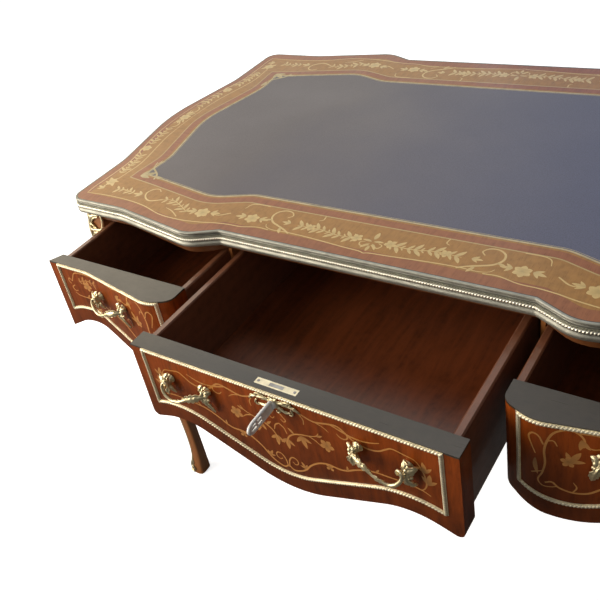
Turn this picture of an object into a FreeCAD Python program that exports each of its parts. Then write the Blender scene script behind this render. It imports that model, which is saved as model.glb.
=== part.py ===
"""Serpentine writing table with three frieze drawers, cabriole legs and gilt mounts.

Millimetres. X runs along the desk, the sitter faces +Y, Z is up. The origin is on the
floor under the middle of the carcass. Each drawer is modelled shut and then moved to
where it stands open.
"""
import FreeCAD, Part
import math
import os

os.makedirs("parts", exist_ok=True)
Vec = FreeCAD.Vector
X_AXIS, Y_AXIS, Z_AXIS = Vec(1, 0, 0), Vec(0, 1, 0), Vec(0, 0, 1)
ORIGIN = Vec(0, 0, 0)
OUTWARD, ACROSS = Vec(1, -1, 0).normalize(), Vec(1, 1, 0).normalize()

# Overall
desk_length = 1240.0
desk_depth = 706.0
desk_height = 780.0
top_thickness = 28.0
cut_overrun = 40.0
same_point = 0.001

# Outline of the top, measured on one quarter
break_half_width = 256.0
ear_offset = 55.0
ear_rise = 27.0
ear_radius = 60.0
ear_run = 175.0
shoulder_radius = 150.0
shoulder_drop = 3.0
corner_radius = 26.0
side_shoulder_run = 158.0
side_shoulder_radius = 150.0
side_bulge = 39.0
side_bulge_radius = 300.0

# Brass moulding around the edge of the top: rim, hollow, rope and lower bead
moulding_width = 10.0
rim_width = 4.0
rim_height = 4.0
hollow_height = 5.0
hollow_depth = 5.0
rope_height = 9.0
rope_stand = 3.0
rope_bevel = 2.5

# Writing surface
veneer_thickness = 1.0
crossband_width = 23.0
leather_end_margin = 90.0
leather_front_margin = 113.0
leather_corner_drop = 8.0
leather_corner_run = 50.0
leather_break_shift = 6.0
leather_break_radius = 70.0
leather_ear_shift = 24.0
leather_ear_radius = 90.0
leather_shoulder_lag = 30.0
leather_side_drop = 7.0
leather_side_radius = 120.0
leather_side_bulge = 32.0
leather_bulge_radius = 170.0

# Frieze: posts, rails and aprons
frieze_inset = 19.0
post_inset = 15.5
post_width = 49.0
post_depth = 51.0
apron_thickness = 20.0
back_board_thickness = 12.0
rail_height = 18.0
rail_depth = 72.0
rail_ear_reveal = 11.0
drawer_gap = 2.0
front_back_gap = 1.0
bearer_height = 12.0
bearer_width = 40.0
apron_end_rise = 32.0
apron_crest_lag = 25.0
apron_crest_radius = 90.0
apron_drop_radius = 150.0

# Drawer fronts
front_thickness = 30.5
front_cap = 3.0
centre_front_reveal = 1.0
centre_end_drop = 148.0
front_corner_radius = 9.0
centre_crest_run = 70.0
centre_crest_drop = 124.0
centre_crest_radius = 110.0
centre_belly_drop = 196.0
centre_belly_radius = 150.0
front_spacing = 9.0
side_front_lap = 10.5
side_front_bevel = 13.0
side_nose_radius = 20.0
side_nose_rise = 12.0
side_ear_run = 38.0
side_ear_rise = 31.0
side_ear_radius = 55.0
side_straight_run = 96.0
side_straight_radius = 150.0
side_face_setback = 6.0
side_inner_drop = 142.0
side_belly_run = 81.0
side_belly_drop = 170.0
side_belly_radius = 100.0
side_crest_run = 66.0
side_crest_drop = 112.0
side_crest_radius = 80.0
side_outer_drop = 149.0

# Rope borders on fronts and aprons
border_width = 6.5
border_stand = 3.0
border_top_drop = 1.2
border_side_margin = 19.0
border_bottom_margin = 26.5

# Drawer boxes
box_wall = 12.0
centre_front_lap = 11.0
box_post_gap = 4.5
centre_box_length = 450.0
side_box_length = 400.0
box_bottom_drop = 142.0
side_top_drop = 5.0
back_top_drop = 12.0
floor_rise = 14.0
floor_thickness = 6.0
groove_bite = 5.0
side_edge_bevel = 2.0

# How far the drawers stand open
centre_open = 259.0
side_open = 148.0

# Runners, guides and the dividers between the drawers
run_clearance = 1.5
slide_clearance = 0.3
guide_width = 14.0
guide_height = 20.0
divider_thickness = 18.0
divider_lip_width = 6.0
divider_lip_reach = 30.0
glue_block = 20.0
glue_block_length = 60.0

# Legs
foot_inset_x = 22.0
foot_inset_y = 8.0
outer_corner_share = 0.84
square_corner_share = 1.06
bend_share = 0.45
straight_share = 0.004
# rows: height over leg height, inward swing over foot inset, and slimming of the outer and
# of the inner side over half the post
leg_station_shares = [
    (0.000, 0.80, 0.28, 0.28), (0.110, 1.06, 0.50, 0.50), (0.300, 0.84, 0.49, 0.49),
    (0.580, 0.00, 0.33, 0.34), (0.755, 0.00, -0.06, 0.00), (0.870, 0.00, -0.23, 0.00),
    (1.000, 0.00, 0.00, 0.00),
]

# Gilt mounts on the legs
sabot_wall = 2.4
sabot_low = 2.0
sabot_height = 56.0
sabot_half_width = 15.0
# leaf outlines: across over half width and height over whole height, from the foot up
sabot_leaf_shares = [(0.80, 0.00), (1.00, 0.12), (0.90, 0.34), (0.50, 0.46), (0.66, 0.60), (0.26, 0.80)]
strip_half = 2.6
strip_stand = 1.6
knee_wall = 3.2
knee_top_gap = 1.0
knee_half_width = 25.0
knee_height = 118.0
# from the top down
knee_leaf_shares = [(1.00, 0.00), (0.96, 0.20), (0.60, 0.30), (0.80, 0.46), (0.34, 0.62), (0.40, 0.78)]

# Lock and key
lock_half_width = 27.0
lock_thickness = 9.6
lock_height = 37.0
lock_wall = 1.2
lock_setback = 12.5
plate_half_width = 33.0
plate_width = 11.0
plate_thickness = 2.0
bolt_half_width = 11.0
bolt_thickness = 5.0
bolt_clearance = 0.3
bolt_throw = 8.0
key_drop = 18.0
key_shank_radius = 2.6
key_hole_radius = 3.2
key_bit_drop = 8.0
key_bit_thickness = 2.2
key_slot_half = 1.6
key_slot_drop = 9.0
key_reach = 60.0
bow_length = 29.0
bow_height = 22.0
bow_thickness = 3.6
bow_rim = 4.6
bow_corner_share = 0.3
collar_radius = 4.4
collar_length = 3.0
round_sides = 8
escutcheon_thickness = 2.4
escutcheon_half = 42.0
escutcheon_height = 24.0
# leafy wings: across over half width and height over whole height from the key's axis
escutcheon_shares = [
    (-1.00, -0.44), (-0.64, -0.20), (-0.36, -0.50), (-0.12, -0.48), (0.00, -0.62), (0.12, -0.46),
    (0.36, -0.42), (0.62, -0.14), (0.98, -0.28), (0.88, 0.12), (0.42, 0.24), (0.00, 0.37),
    (-0.46, 0.28), (-0.86, 0.10),
]

# Cast pulls
pull_span = 68.0
pull_stand = 23.0
pull_droop = 22.0
pull_shoulder = 16.0
pull_bar_radius = 3.8
pull_bar_bevel = 2.0
pull_leaf_radius = 12.5
pull_leaf_notch_share = 0.66
pull_leaf_lobes = 5
pull_leaf_thickness = 2.5
pull_boss_radius = 7.0
pull_boss_height = 7.0
centre_pull_inset = 100.0
pull_drop = 42.0
side_pull_run = 58.0

# Worked out from the sizes above
half_length = desk_length / 2
half_depth = desk_depth / 2
top_under = desk_height - top_thickness
core_top = desk_height - veneer_thickness
front_top = top_under - rail_height - drawer_gap
rail_low = top_under - rail_height
post_out_x = half_length - post_inset
post_out_y = half_depth - frieze_inset
post_in_x = post_out_x - post_width
post_in_y = post_out_y - post_depth
post_centre = Vec(post_out_x - post_width / 2, -(post_out_y - post_depth / 2), 0)
side_shoulder_y = half_depth - side_shoulder_run
apron_crest_y = side_shoulder_y - apron_crest_lag

# Places of the drawer fronts: along the desk, their faces and their lower lines
centre_front_half = break_half_width - centre_front_reveal
centre_crest_x = centre_front_half - centre_crest_run
centre_pull_x = centre_front_half - centre_pull_inset
side_front_inner = centre_front_half + front_spacing
side_front_outer = post_in_x + side_front_lap
side_ear_x = side_front_inner + side_ear_run
side_straight_x = side_front_outer - side_straight_run
side_belly_x = side_front_inner + side_belly_run
side_crest_x = side_front_outer - side_crest_run
side_pull_x = side_straight_x - side_pull_run
centre_face_y = post_out_y
side_face_y = centre_face_y - side_face_setback
centre_end_z = front_top - centre_end_drop
centre_crest_z = front_top - centre_crest_drop
centre_belly_z = front_top - centre_belly_drop
side_inner_z = front_top - side_inner_drop
side_belly_z = front_top - side_belly_drop
side_crest_z = front_top - side_crest_drop
side_outer_z = front_top - side_outer_drop
pull_z = front_top - pull_drop

# Places of the drawer boxes and of what carries them
centre_box_half = centre_front_half - centre_front_lap
divider_inner = centre_box_half + run_clearance
divider_outer = divider_inner + divider_thickness
side_box_inner = divider_outer + run_clearance
side_box_outer = post_in_x - box_post_gap
box_bottom_z = front_top - box_bottom_drop
front_back_y = centre_face_y - front_thickness
rail_front_y = front_back_y - front_back_gap
rail_back_y = centre_face_y - rail_depth
back_board_y = front_back_y - back_board_thickness
bearer_top = box_bottom_z - slide_clearance
bearer_low = bearer_top - bearer_height
lip_centre = (centre_front_half + side_front_inner) / 2
key_z = front_top - key_drop
lock_y = front_back_y + lock_setback + plate_width / 2


def rounded_path(points, closed=True):
    """Lines joined by tangent arcs through (point, radius) pairs."""
    count = len(points)
    bends = []
    for i, (p, radius) in enumerate(points):
        if radius == 0:
            bends.append((p, None, p))
            continue
        back = (points[i - 1][0] - p).normalize()
        ahead = (points[(i + 1) % count][0] - p).normalize()
        half = back.getAngle(ahead) / 2
        run = radius / math.tan(half)
        middle = p + (back + ahead).normalize() * (radius / math.sin(half) - radius)
        bends.append((p + back * run, middle, p + ahead * run))
    edges = []
    for i, (start, middle, end) in enumerate(bends):
        if middle is not None:
            edges.append(Part.Arc(start, middle, end).toShape())
        if i + 1 < count or closed:
            following = bends[(i + 1) % count][0]
            if not end.isEqual(following, same_point):
                edges.append(Part.makeLine(end, following))
    return Part.Wire(edges)


def eased(points):
    """Gives each inner point of an open line the widest bend that its two runs allow."""
    bends = [(points[0], 0)]
    for before, p, after in zip(points, points[1:], points[2:]):
        back, ahead = before - p, after - p
        half = back.getAngle(ahead) / 2
        run = min(back.Length, ahead.Length) * bend_share
        straight = math.pi / 2 - half < straight_share
        bends.append((p, 0 if straight else run * math.tan(half)))
    return bends + [(points[-1], 0)]


def inset(corners, distance):
    """A parallel outline inside a counter-clockwise one: corners are (x, y, radius)."""
    moved = []
    count = len(corners)
    for i, (x, y, radius) in enumerate(corners):
        px, py, _ = corners[i - 1]
        nx, ny, _ = corners[(i + 1) % count]
        ax, ay = x - px, y - py
        bx, by = nx - x, ny - y
        la, lb = math.hypot(ax, ay), math.hypot(bx, by)
        ax, ay, bx, by = ax / la, ay / la, bx / lb, by / lb
        turn = ax * by - ay * bx
        cosine = ax * bx + ay * by
        shift_x = distance * (-(ay + by)) / (1 + cosine)
        shift_y = distance * (ax + bx) / (1 + cosine)
        if radius > 0:
            radius = max(radius - math.copysign(distance, turn), 0)
        moved.append((x + shift_x, y + shift_y, radius))
    return moved


def plan_wire(corners, z):
    return rounded_path([(Vec(x, y, z), r) for x, y, r in corners])


def slab(corners, z_low, z_high):
    """A flat board: a plan outline between two heights."""
    return Part.Face(plan_wire(corners, z_low)).extrude(Z_AXIS * (z_high - z_low))


def front_view_slab(corners, y_low, y_high):
    """An outline seen from the front, given as (x, z, radius), between two depths."""
    wire = rounded_path([(Vec(x, y_low, z), r) for x, z, r in corners])
    return Part.Face(wire).extrude(Y_AXIS * (y_high - y_low))


def side_view_slab(corners, x_low, x_high):
    """An outline seen from the end, given as (y, z, radius), between two places along X."""
    wire = rounded_path([(Vec(x_low, y, z), r) for y, z, r in corners])
    return Part.Face(wire).extrude(X_AXIS * (x_high - x_low))


def block(x0, x1, y0, y1, z0, z1):
    return Part.makeBox(x1 - x0, y1 - y0, z1 - z0, Vec(x0, y0, z0))


def mirror_x(shape):
    return shape.mirror(ORIGIN, X_AXIS)


def mirror_y(shape):
    return shape.mirror(ORIGIN, Y_AXIS)


def as_built(shape):
    return shape


def both_ends(shape):
    """A piece on the right and its mirror image on the left."""
    return Part.makeCompound([shape, mirror_x(shape)])


def four_corners(shape):
    """The piece at the front right corner and its three mirror images."""
    return Part.makeCompound([shape, mirror_x(shape), mirror_y(shape), mirror_x(mirror_y(shape))])


def pulled(shape, distance):
    """A piece modelled in the shut drawer, moved to where the drawer stands open."""
    return shape.translated(Y_AXIS * -distance)


def around(quarter, bulge):
    """Mirrors a quarter outline into a closed counter-clockwise one from the front centre.

    The quarter runs from the front break to the end of the desk, in positive sizes, and
    bulge is the last corner, on the X axis.
    """
    front_right = [(x, -y, r) for x, y, r in quarter]
    back_right = [(x, y, r) for x, y, r in reversed(quarter)]
    back_left = [(-x, y, r) for x, y, r in quarter]
    front_left = [(-x, -y, r) for x, y, r in reversed(quarter)]
    (bx, _, br) = bulge
    front_middle = (0, -quarter[0][1], 0)
    back_middle = (0, quarter[0][1], 0)
    return ([front_middle] + front_right + [bulge] + back_right + [back_middle]
            + back_left + [(-bx, 0, br)] + front_left)


def top_outline():
    """The serpentine outline of the writing surface, breaks and ears included."""
    ear_x = break_half_width + ear_offset
    quarter = [
        (break_half_width, half_depth, 0),
        (ear_x, half_depth + ear_rise, ear_radius),
        (ear_x + ear_run, half_depth - shoulder_drop, shoulder_radius),
        (half_length, half_depth - shoulder_drop, corner_radius),
        (half_length, side_shoulder_y, side_shoulder_radius),
    ]
    return around(quarter, (half_length + side_bulge, 0, side_bulge_radius))


def leather_outline():
    """The leather follows the edge at a distance, with softened breaks."""
    break_x = break_half_width + leather_break_shift
    ear_x = break_half_width + ear_offset + leather_ear_shift
    corner_x = half_length - leather_end_margin
    front_y = half_depth - leather_front_margin
    quarter = [
        (break_x, front_y, leather_break_radius),
        (ear_x, front_y + ear_rise, leather_ear_radius),
        (corner_x - leather_corner_run, front_y, 0),
        (corner_x, front_y - leather_corner_drop, 0),
        (corner_x - leather_side_drop, side_shoulder_y - leather_shoulder_lag, leather_side_radius),
    ]
    return around(quarter, (corner_x + leather_side_bulge, 0, leather_bulge_radius))


def ring(outer, inner, z_low, z_high):
    return slab(outer, z_low, z_high).cut(slab(inner, z_low, z_high))


def stacked(outline, lines):
    """Piles layers between parallel outlines, given as (outward, height) from below."""
    layers = []
    for (out_low, z_low), (out_high, z_high) in zip(lines, lines[1:]):
        if z_high > z_low:
            wires = [plan_wire(inset(outline, -out), z) for out, z in ((out_low, z_low), (out_high, z_high))]
            layers.append(Part.makeLoft(wires, True, True))
    return layers[0].fuse(layers[1:])


def top_moulding(outline):
    """Rim, hollow, rope and lower bead around the top, in one cast section."""
    rim_low = desk_height - rim_height
    rope_high = rim_low - hollow_height
    rope_low = rope_high - rope_height
    lines = [
        (0, top_under), (0, rope_low),
        (rope_stand, rope_low + rope_bevel), (rope_stand, rope_high - rope_bevel), (0, rope_high),
        (-hollow_depth, rope_high), (0, rim_low), (0, desk_height),
    ]
    edge = stacked(outline, lines)
    edge = edge.cut(slab(inset(outline, moulding_width), top_under, core_top))
    return edge.cut(slab(inset(outline, rim_width), core_top, desk_height))


def leg_section(station):
    """Middle of one section of the front right leg, with its half width and half depth."""
    height, swing, slim_out, slim_in = station
    outer, inner = 1 - slim_out, 1 - slim_in
    half_x, half_y = post_width / 2, post_depth / 2
    lean = (outer - inner) / 2
    swung = Vec(-swing * foot_inset_x, swing * foot_inset_y, height * top_under)
    middle = post_centre + swung + Vec(lean * half_x, -lean * half_y, 0)
    stout = (outer + inner) / 2
    return middle, stout * half_x, stout * half_y


def leg_plank(direction, grow, plus_share=1, minus_share=1):
    """The front right leg sawn to its two eased lines, seen square to a direction."""
    sight = Z_AXIS.cross(direction)
    plus, minus = [], []
    for station in leg_station_shares:
        middle, half_x, half_y = leg_section(station)
        reach = half_x * abs(direction.x) + half_y * abs(direction.y)
        middle = middle - sight * (middle - post_centre).dot(sight)
        plus.append(middle + direction * (reach * plus_share + grow))
        minus.append(middle - direction * (reach * minus_share + grow))
    face = Part.Face(rounded_path(eased(plus) + eased(minus[::-1])))
    span = post_width + post_depth
    return face.extrude(sight * (span + span)).translated(sight * -span)


def leg_body(grow):
    """The cabriole form: the same lines from the front and the end, the outer arris taken off."""
    square = leg_plank(X_AXIS, grow).common(leg_plank(Y_AXIS, grow))
    return square.common(leg_plank(OUTWARD, grow, outer_corner_share, square_corner_share))


def leg():
    """Post and cabriole leg in one piece, rebated for the end of the drawer front."""
    end = side_front_outer + drawer_gap
    rebate = [
        (side_straight_x, -half_depth, 0), (end, -half_depth, 0), (end, -side_face_y, 0),
        (end - side_front_bevel, -rail_front_y, 0), (side_straight_x, -rail_front_y, 0),
    ]
    return leg_body(0).cut(slab(rebate, bearer_low, rail_low))


def corner_leaf(right_side, reach):
    """A leaf outline of (across, z) on the outer corner of the leg, run outward."""
    corners = right_side + [(-s, z) for s, z in reversed(right_side) if s > 0]
    wire = rounded_path([(post_centre + ACROSS * s + Z_AXIS * z, 0) for s, z in corners])
    return Part.Face(wire).extrude(OUTWARD * reach)


def knee_mount():
    """A cast leaf that wraps the outer edge of the knee."""
    top_z = top_under - knee_top_gap
    side = [(s * knee_half_width, top_z - h * knee_height) for s, h in knee_leaf_shares]
    leaf = corner_leaf(side + [(0, top_z - knee_height)], post_width + post_depth)
    return leg_body(knee_wall).common(leaf).cut(leg_body(0))


def sabot():
    """A cast leaf on the outer corner of the foot, just off the floor."""
    side = [(s * sabot_half_width, sabot_low + h * sabot_height) for s, h in sabot_leaf_shares]
    leaf = corner_leaf(side + [(0, sabot_low + sabot_height)], post_width + post_depth)
    middle = leg_section(leg_station_shares[1])[0]
    leaf = leaf.translated(ACROSS * (middle - post_centre).dot(ACROSS))
    return leg_body(sabot_wall).common(leaf).cut(leg_body(0))


def edge_strip():
    """A thin brass bead down the outer edge, from the knee leaf to the foot."""
    left, right = [], []
    for station in leg_station_shares:
        middle, half_x, half_y = leg_section(station)
        edge = middle + Vec(half_x, -half_y, 0)
        edge = edge - OUTWARD * (edge - post_centre).dot(OUTWARD)
        left.append(edge - ACROSS * strip_half)
        right.append(edge + ACROSS * strip_half)
    band = Part.Face(rounded_path(eased(right) + eased(left[::-1])))
    band = band.extrude(OUTWARD * (post_width + post_depth))
    low, high = sabot_low + sabot_height, top_under - knee_top_gap - knee_height
    window = block(0, half_length + side_bulge, -half_depth - ear_rise, 0, low, high)
    arris = leg_plank(OUTWARD, 0, outer_corner_share, square_corner_share)
    raised = leg_plank(OUTWARD, strip_stand, outer_corner_share, square_corner_share)
    return raised.common(band).common(window).cut(arris)


def centre_lower_line():
    """The lower edge of the centre drawer, from left to right, as (x, z, radius)."""
    right = [(centre_crest_x, centre_crest_z, centre_crest_radius),
             (centre_front_half, centre_end_z, front_corner_radius)]
    left = [(-x, z, r) for x, z, r in reversed(right)]
    return left + [(0, centre_belly_z, centre_belly_radius)] + right


def side_lower_line():
    """The lower edge of the right drawer, from its inner to its outer end."""
    return [
        (side_front_inner, side_inner_z, front_corner_radius),
        (side_belly_x, side_belly_z, side_belly_radius),
        (side_crest_x, side_crest_z, side_crest_radius),
        (side_front_outer, side_outer_z, 0),
    ]


def closed_above(line, top):
    """Closes a lower line with a straight top, counter-clockwise."""
    return [(line[-1][0], top, 0), (line[0][0], top, 0)] + line


def border_outline(line, left, right, top):
    """The outer edge of a rope border, parallel to the lower line of what carries it."""
    parallel = inset(closed_above(line, top), border_bottom_margin)[2:]
    first, last = parallel[0], parallel[-1]
    return closed_above([(left, first[1], 0)] + parallel[1:-1] + [(right, last[1], 0)], top)


def side_front_plan():
    """The plan of the right drawer front: thin at the corner, swelling to the ear."""
    face, back = -side_face_y, -front_back_y
    return [
        (side_front_inner, back, 0), (side_front_inner, face - side_nose_rise, side_nose_radius),
        (side_ear_x, face - side_ear_rise, side_ear_radius),
        (side_straight_x, face, side_straight_radius),
        (side_front_outer, face, 0), (side_front_outer - side_front_bevel, back, 0),
    ]


def centre_front_body():
    line = closed_above(centre_lower_line(), front_top)
    return front_view_slab(line, -centre_face_y, -front_back_y)


def side_front_body():
    line = closed_above(side_lower_line(), front_top)
    view = front_view_slab(line, -half_depth - cut_overrun, 0)
    return slab(side_front_plan(), centre_belly_z, front_top).common(view)


def front_border(band, line, left, right):
    """A brass rope border on a drawer front: a frame cut from a thin layer on its face."""
    outline = border_outline(line, left, right, front_top - border_top_drop)
    opening = inset(outline, border_width)
    y_low, y_high = -half_depth - cut_overrun, 0
    frame = front_view_slab(outline, y_low, y_high).cut(front_view_slab(opening, y_low, y_high))
    return band.common(frame)


def centre_border():
    half = centre_front_half - border_side_margin
    band = block(-centre_front_half, centre_front_half, -centre_face_y - border_stand,
                 -centre_face_y, centre_belly_z, front_top)
    return front_border(band, centre_lower_line(), -half, half)


def side_border():
    plan = side_front_plan()
    outer = [(x, y - border_stand, r) for x, y, r in plan]
    band = slab(outer, centre_belly_z, front_top).cut(slab(plan, centre_belly_z, front_top))
    left, right = side_front_inner + border_side_margin, side_front_outer - border_side_margin
    return front_border(band, side_lower_line(), left, right)


def drawer_box(inner_x, outer_x, length):
    """Sides, back and floor of a shut drawer between two places along X."""
    front_y = -front_back_y
    back_y = front_y + length
    side_top = front_top - side_top_drop
    floor_low = box_bottom_z + floor_rise
    floor_top = floor_low + floor_thickness
    floor_board = block(inner_x + box_wall - groove_bite, outer_x - box_wall + groove_bite,
                        front_y - groove_bite, back_y, floor_low, floor_top)
    sides = []
    for x in (inner_x, outer_x - box_wall):
        bevel = side_edge_bevel
        section = [
            (x, box_bottom_z, 0), (x + box_wall, box_bottom_z, 0),
            (x + box_wall, side_top - bevel, 0), (x + box_wall - bevel, side_top, 0),
            (x + bevel, side_top, 0), (x, side_top - bevel, 0),
        ]
        sides.append(front_view_slab(section, front_y, back_y).cut(floor_board))
    back = block(inner_x + box_wall, outer_x - box_wall, back_y - box_wall, back_y, floor_top,
                 front_top - back_top_drop)
    return Part.makeCompound(sides), back, floor_board


def lock_slot():
    """The mortise for the lock case and for its plate, let in from the top of the front."""
    case = block(-lock_half_width, lock_half_width, -lock_y - lock_thickness / 2,
                 -lock_y + lock_thickness / 2, front_top - lock_height, front_top)
    plate = block(-plate_half_width, plate_half_width, -lock_y - plate_width / 2,
                  -lock_y + plate_width / 2, front_top - plate_thickness, front_top)
    return case, plate


def key_hole(y_low, y_high):
    """Round hole with the slot for the bit below it."""
    hole = Part.makeCylinder(key_hole_radius, y_high - y_low, Vec(0, y_low, key_z), Y_AXIS)
    slot = block(-key_slot_half, key_slot_half, y_low, y_high, key_z - key_slot_drop, key_z)
    return hole.fuse(slot)


def lock_parts():
    """Case with its cavity, face plate and bolt of the drawer lock."""
    case, plate = lock_slot()
    y0, y1 = -lock_y - lock_thickness / 2, -lock_y + lock_thickness / 2
    cavity = block(-lock_half_width + lock_wall, lock_half_width - lock_wall, y0 + lock_wall,
                   y1 - lock_wall, front_top - lock_height + lock_wall, front_top)
    case = case.cut(cavity).cut(plate).cut(key_hole(y0, -lock_y))
    reach = bolt_half_width + bolt_clearance
    half = bolt_thickness / 2
    slot = block(-reach, reach, -lock_y - half - bolt_clearance, -lock_y + half + bolt_clearance,
                 front_top - plate_thickness, front_top)
    bolt_low = key_z + key_hole_radius + bolt_clearance
    bolt = block(-bolt_half_width, bolt_half_width, -lock_y - half, -lock_y + half, bolt_low, front_top)
    return case, plate.cut(slot), bolt


def prism(radius, y_low, y_high, sides):
    """A flat-sided round along Y on the origin's axis."""
    points = [Vec(radius * math.cos(a), y_low, radius * math.sin(a)) for a in side_angles(sides)]
    return Part.Face(Part.makePolygon(points + points[:1])).extrude(Y_AXIS * (y_high - y_low))


def side_angles(sides):
    return [math.pi * (2 * i + 1) / sides for i in range(sides)]


def key_solid():
    """Shank, bit, collar and an oval bow with its eye."""
    tip_y = -lock_y + lock_thickness / 2 - lock_wall - bolt_clearance
    bow_end = -centre_face_y - key_reach
    bow_back = bow_end + bow_length
    shank = prism(key_shank_radius, bow_back - bow_rim, tip_y, round_sides)
    collar = prism(collar_radius, bow_back, bow_back + collar_length, round_sides)
    bit = block(-key_bit_thickness / 2, key_bit_thickness / 2, -lock_y - bolt_thickness / 2, tip_y,
                key_z - key_bit_drop, key_z)
    cut = bow_height * bow_corner_share
    low, high = key_z - bow_height / 2, key_z + bow_height / 2
    oval = [
        (bow_end + cut, low, 0), (bow_back - cut, low, 0), (bow_back, low + cut, 0),
        (bow_back, high - cut, 0), (bow_back - cut, high, 0), (bow_end + cut, high, 0),
        (bow_end, high - cut, 0), (bow_end, low + cut, 0),
    ]
    bow = side_view_slab(oval, -bow_thickness / 2, bow_thickness / 2)
    bow = bow.cut(side_view_slab(inset(oval, bow_rim), -bow_thickness, bow_thickness))
    stem = shank.fuse(collar).translated(Z_AXIS * key_z)
    return bow.fuse([stem, bit]).removeSplitter()


def escutcheon():
    """A leafy gilt plate around the keyhole."""
    outline = [(s * escutcheon_half, key_z + h * escutcheon_height, 0) for s, h in escutcheon_shares]
    plate = front_view_slab(outline, -centre_face_y - escutcheon_thickness, -centre_face_y)
    return plate.cut(key_hole(-centre_face_y - cut_overrun, -centre_face_y + cut_overrun))


def pull_leaf():
    """The leafy plate at one end of a pull."""
    points = []
    for i, angle in enumerate(side_angles(pull_leaf_lobes + pull_leaf_lobes)):
        reach = pull_leaf_radius * (pull_leaf_notch_share if i % 2 else 1)
        points.append((reach * math.cos(angle), reach * math.sin(angle), 0))
    return front_view_slab(points, -pull_leaf_thickness, 0)


def pull():
    """A one-piece cast pull at the origin: two leafy ends and a drooping bar between them."""
    half, r = pull_span / 2, pull_bar_radius
    low_half = half - pull_shoulder
    lower = [(-half - r, -r, 0), (-low_half - r, -pull_droop - r, 0),
             (low_half + r, -pull_droop - r, 0), (half + r, -r, 0)]
    upper = [(half + r, r, 0), (half - r, r, 0), (low_half - r, r - pull_droop, 0),
             (r - low_half, r - pull_droop, 0), (r - half, r, 0), (-half - r, r, 0)]
    bar = front_view_slab(lower + upper, -pull_stand - r, r - pull_stand)
    arrises = [e for e in bar.Edges if e.BoundBox.YLength < same_point]
    bar = bar.makeChamfer(pull_bar_bevel, arrises)
    stem = prism(pull_bar_radius, -pull_stand, 0, round_sides)
    boss = prism(pull_boss_radius, -pull_boss_height, 0, round_sides)
    end = pull_leaf().fuse([boss, stem])
    return bar.fuse([end.translated(X_AXIS * x) for x in (-half, half)]).removeSplitter()


def side_pull():
    """The pull of the right drawer, flush on the slanting stretch of its face."""
    run = side_straight_x - side_ear_x
    slope = side_ear_rise / run
    y = -side_face_y - (side_straight_x - side_pull_x) * slope
    turned = pull().rotated(ORIGIN, Z_AXIS, math.degrees(math.atan(slope)))
    return turned.translated(Vec(side_pull_x, y, pull_z))


def rail_plan():
    """The front rail follows the frieze and shows a little below each ear."""
    ear_x = break_half_width + ear_offset
    face = centre_face_y
    right = [
        (break_half_width, face, 0),
        (ear_x, half_depth + ear_rise - rail_ear_reveal, ear_radius),
        (ear_x + ear_run, face, shoulder_radius), (post_in_x, face, 0),
    ]
    front = [(x, -y, r) for x, y, r in right]
    left = [(-x, y, r) for x, y, r in reversed(front)]
    return left + front + [(post_in_x, -rail_back_y, 0), (-post_in_x, -rail_back_y, 0)]


def rail():
    return slab(rail_plan(), rail_low, top_under)


def bolt_pocket():
    room = 2 * bolt_clearance
    half = bolt_thickness / 2 + room
    return block(-bolt_half_width - room, bolt_half_width + room, -lock_y - half, -lock_y + half,
                 rail_low, front_top + bolt_throw + room)


def end_apron():
    """The right-hand apron: bowed like the end of the top, with a shaped lower line."""
    outer_x = post_out_x
    bow_x = outer_x + side_bulge
    inner_x, inner_bow_x = outer_x - apron_thickness, bow_x - apron_thickness
    bend, bow = side_shoulder_radius, side_bulge_radius
    outline = [
        (outer_x, -post_in_y, 0), (outer_x, -side_shoulder_y, bend), (bow_x, 0, bow),
        (outer_x, side_shoulder_y, bend), (outer_x, post_in_y, 0),
        (inner_x, post_in_y, 0), (inner_x, side_shoulder_y, bend),
        (inner_bow_x, 0, bow), (inner_x, -side_shoulder_y, bend), (inner_x, -post_in_y, 0),
    ]
    view = side_view_slab(closed_above(end_lower_line(), top_under), 0, half_length + side_bulge)
    return slab(outline, side_belly_z, top_under).common(view)


def end_lower_line():
    """The lower edge of an end apron, from front to back, as (y, z, radius)."""
    crest_z = side_outer_z + apron_end_rise
    return [
        (-post_in_y, side_outer_z, 0), (-apron_crest_y, crest_z, apron_crest_radius),
        (0, side_belly_z, apron_drop_radius), (apron_crest_y, crest_z, apron_crest_radius),
        (post_in_y, side_outer_z, 0),
    ]


def bearer_places():
    """Where the two cross rails under the drawers lie, as ranges of Y."""
    return [(-rail_front_y, -rail_front_y + bearer_width), (back_board_y - bearer_width, back_board_y)]


def bearer_rails():
    bars = [block(-post_in_x, post_in_x, y0, y1, bearer_low, bearer_top) for y0, y1 in bearer_places()]
    return Part.makeCompound(bars)


def divider():
    """Upright board between two drawers, with a lip that fills the gap between the fronts."""
    board = block(divider_inner, divider_outer, -rail_front_y, back_board_y, bearer_low, top_under)
    for y0, y1 in ((-rail_front_y, -rail_back_y), (rail_back_y, back_board_y)):
        board = board.cut(block(divider_inner, divider_outer, y0, y1, rail_low, top_under))
    for y0, y1 in bearer_places():
        board = board.cut(block(divider_inner, divider_outer, y0, y1, bearer_low, bearer_top))
    half = divider_lip_width / 2
    lip = block(lip_centre - half, lip_centre + half, -rail_front_y - divider_lip_reach,
                -rail_front_y, side_inner_z, rail_low)
    return board.fuse(lip).removeSplitter()


def back_board():
    """The plain board behind the false fronts, between the back posts and below the rail."""
    return block(-post_in_x, post_in_x, back_board_y, front_back_y, bearer_low, rail_low)


def runner_bars(z_low, z_high, y_low, y_high):
    """A bar at each side of the three drawers."""
    outer_x = side_box_outer + slide_clearance - guide_width
    places = [divider_inner - guide_width, divider_outer, outer_x]
    bars = [block(x, x + guide_width, y_low, y_high, z_low, z_high) for x in places]
    return both_ends(Part.makeCompound(bars))


def runners():
    (_, y0), (y1, _) = bearer_places()
    return runner_bars(bearer_low, bearer_top, y0, y1)


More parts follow.
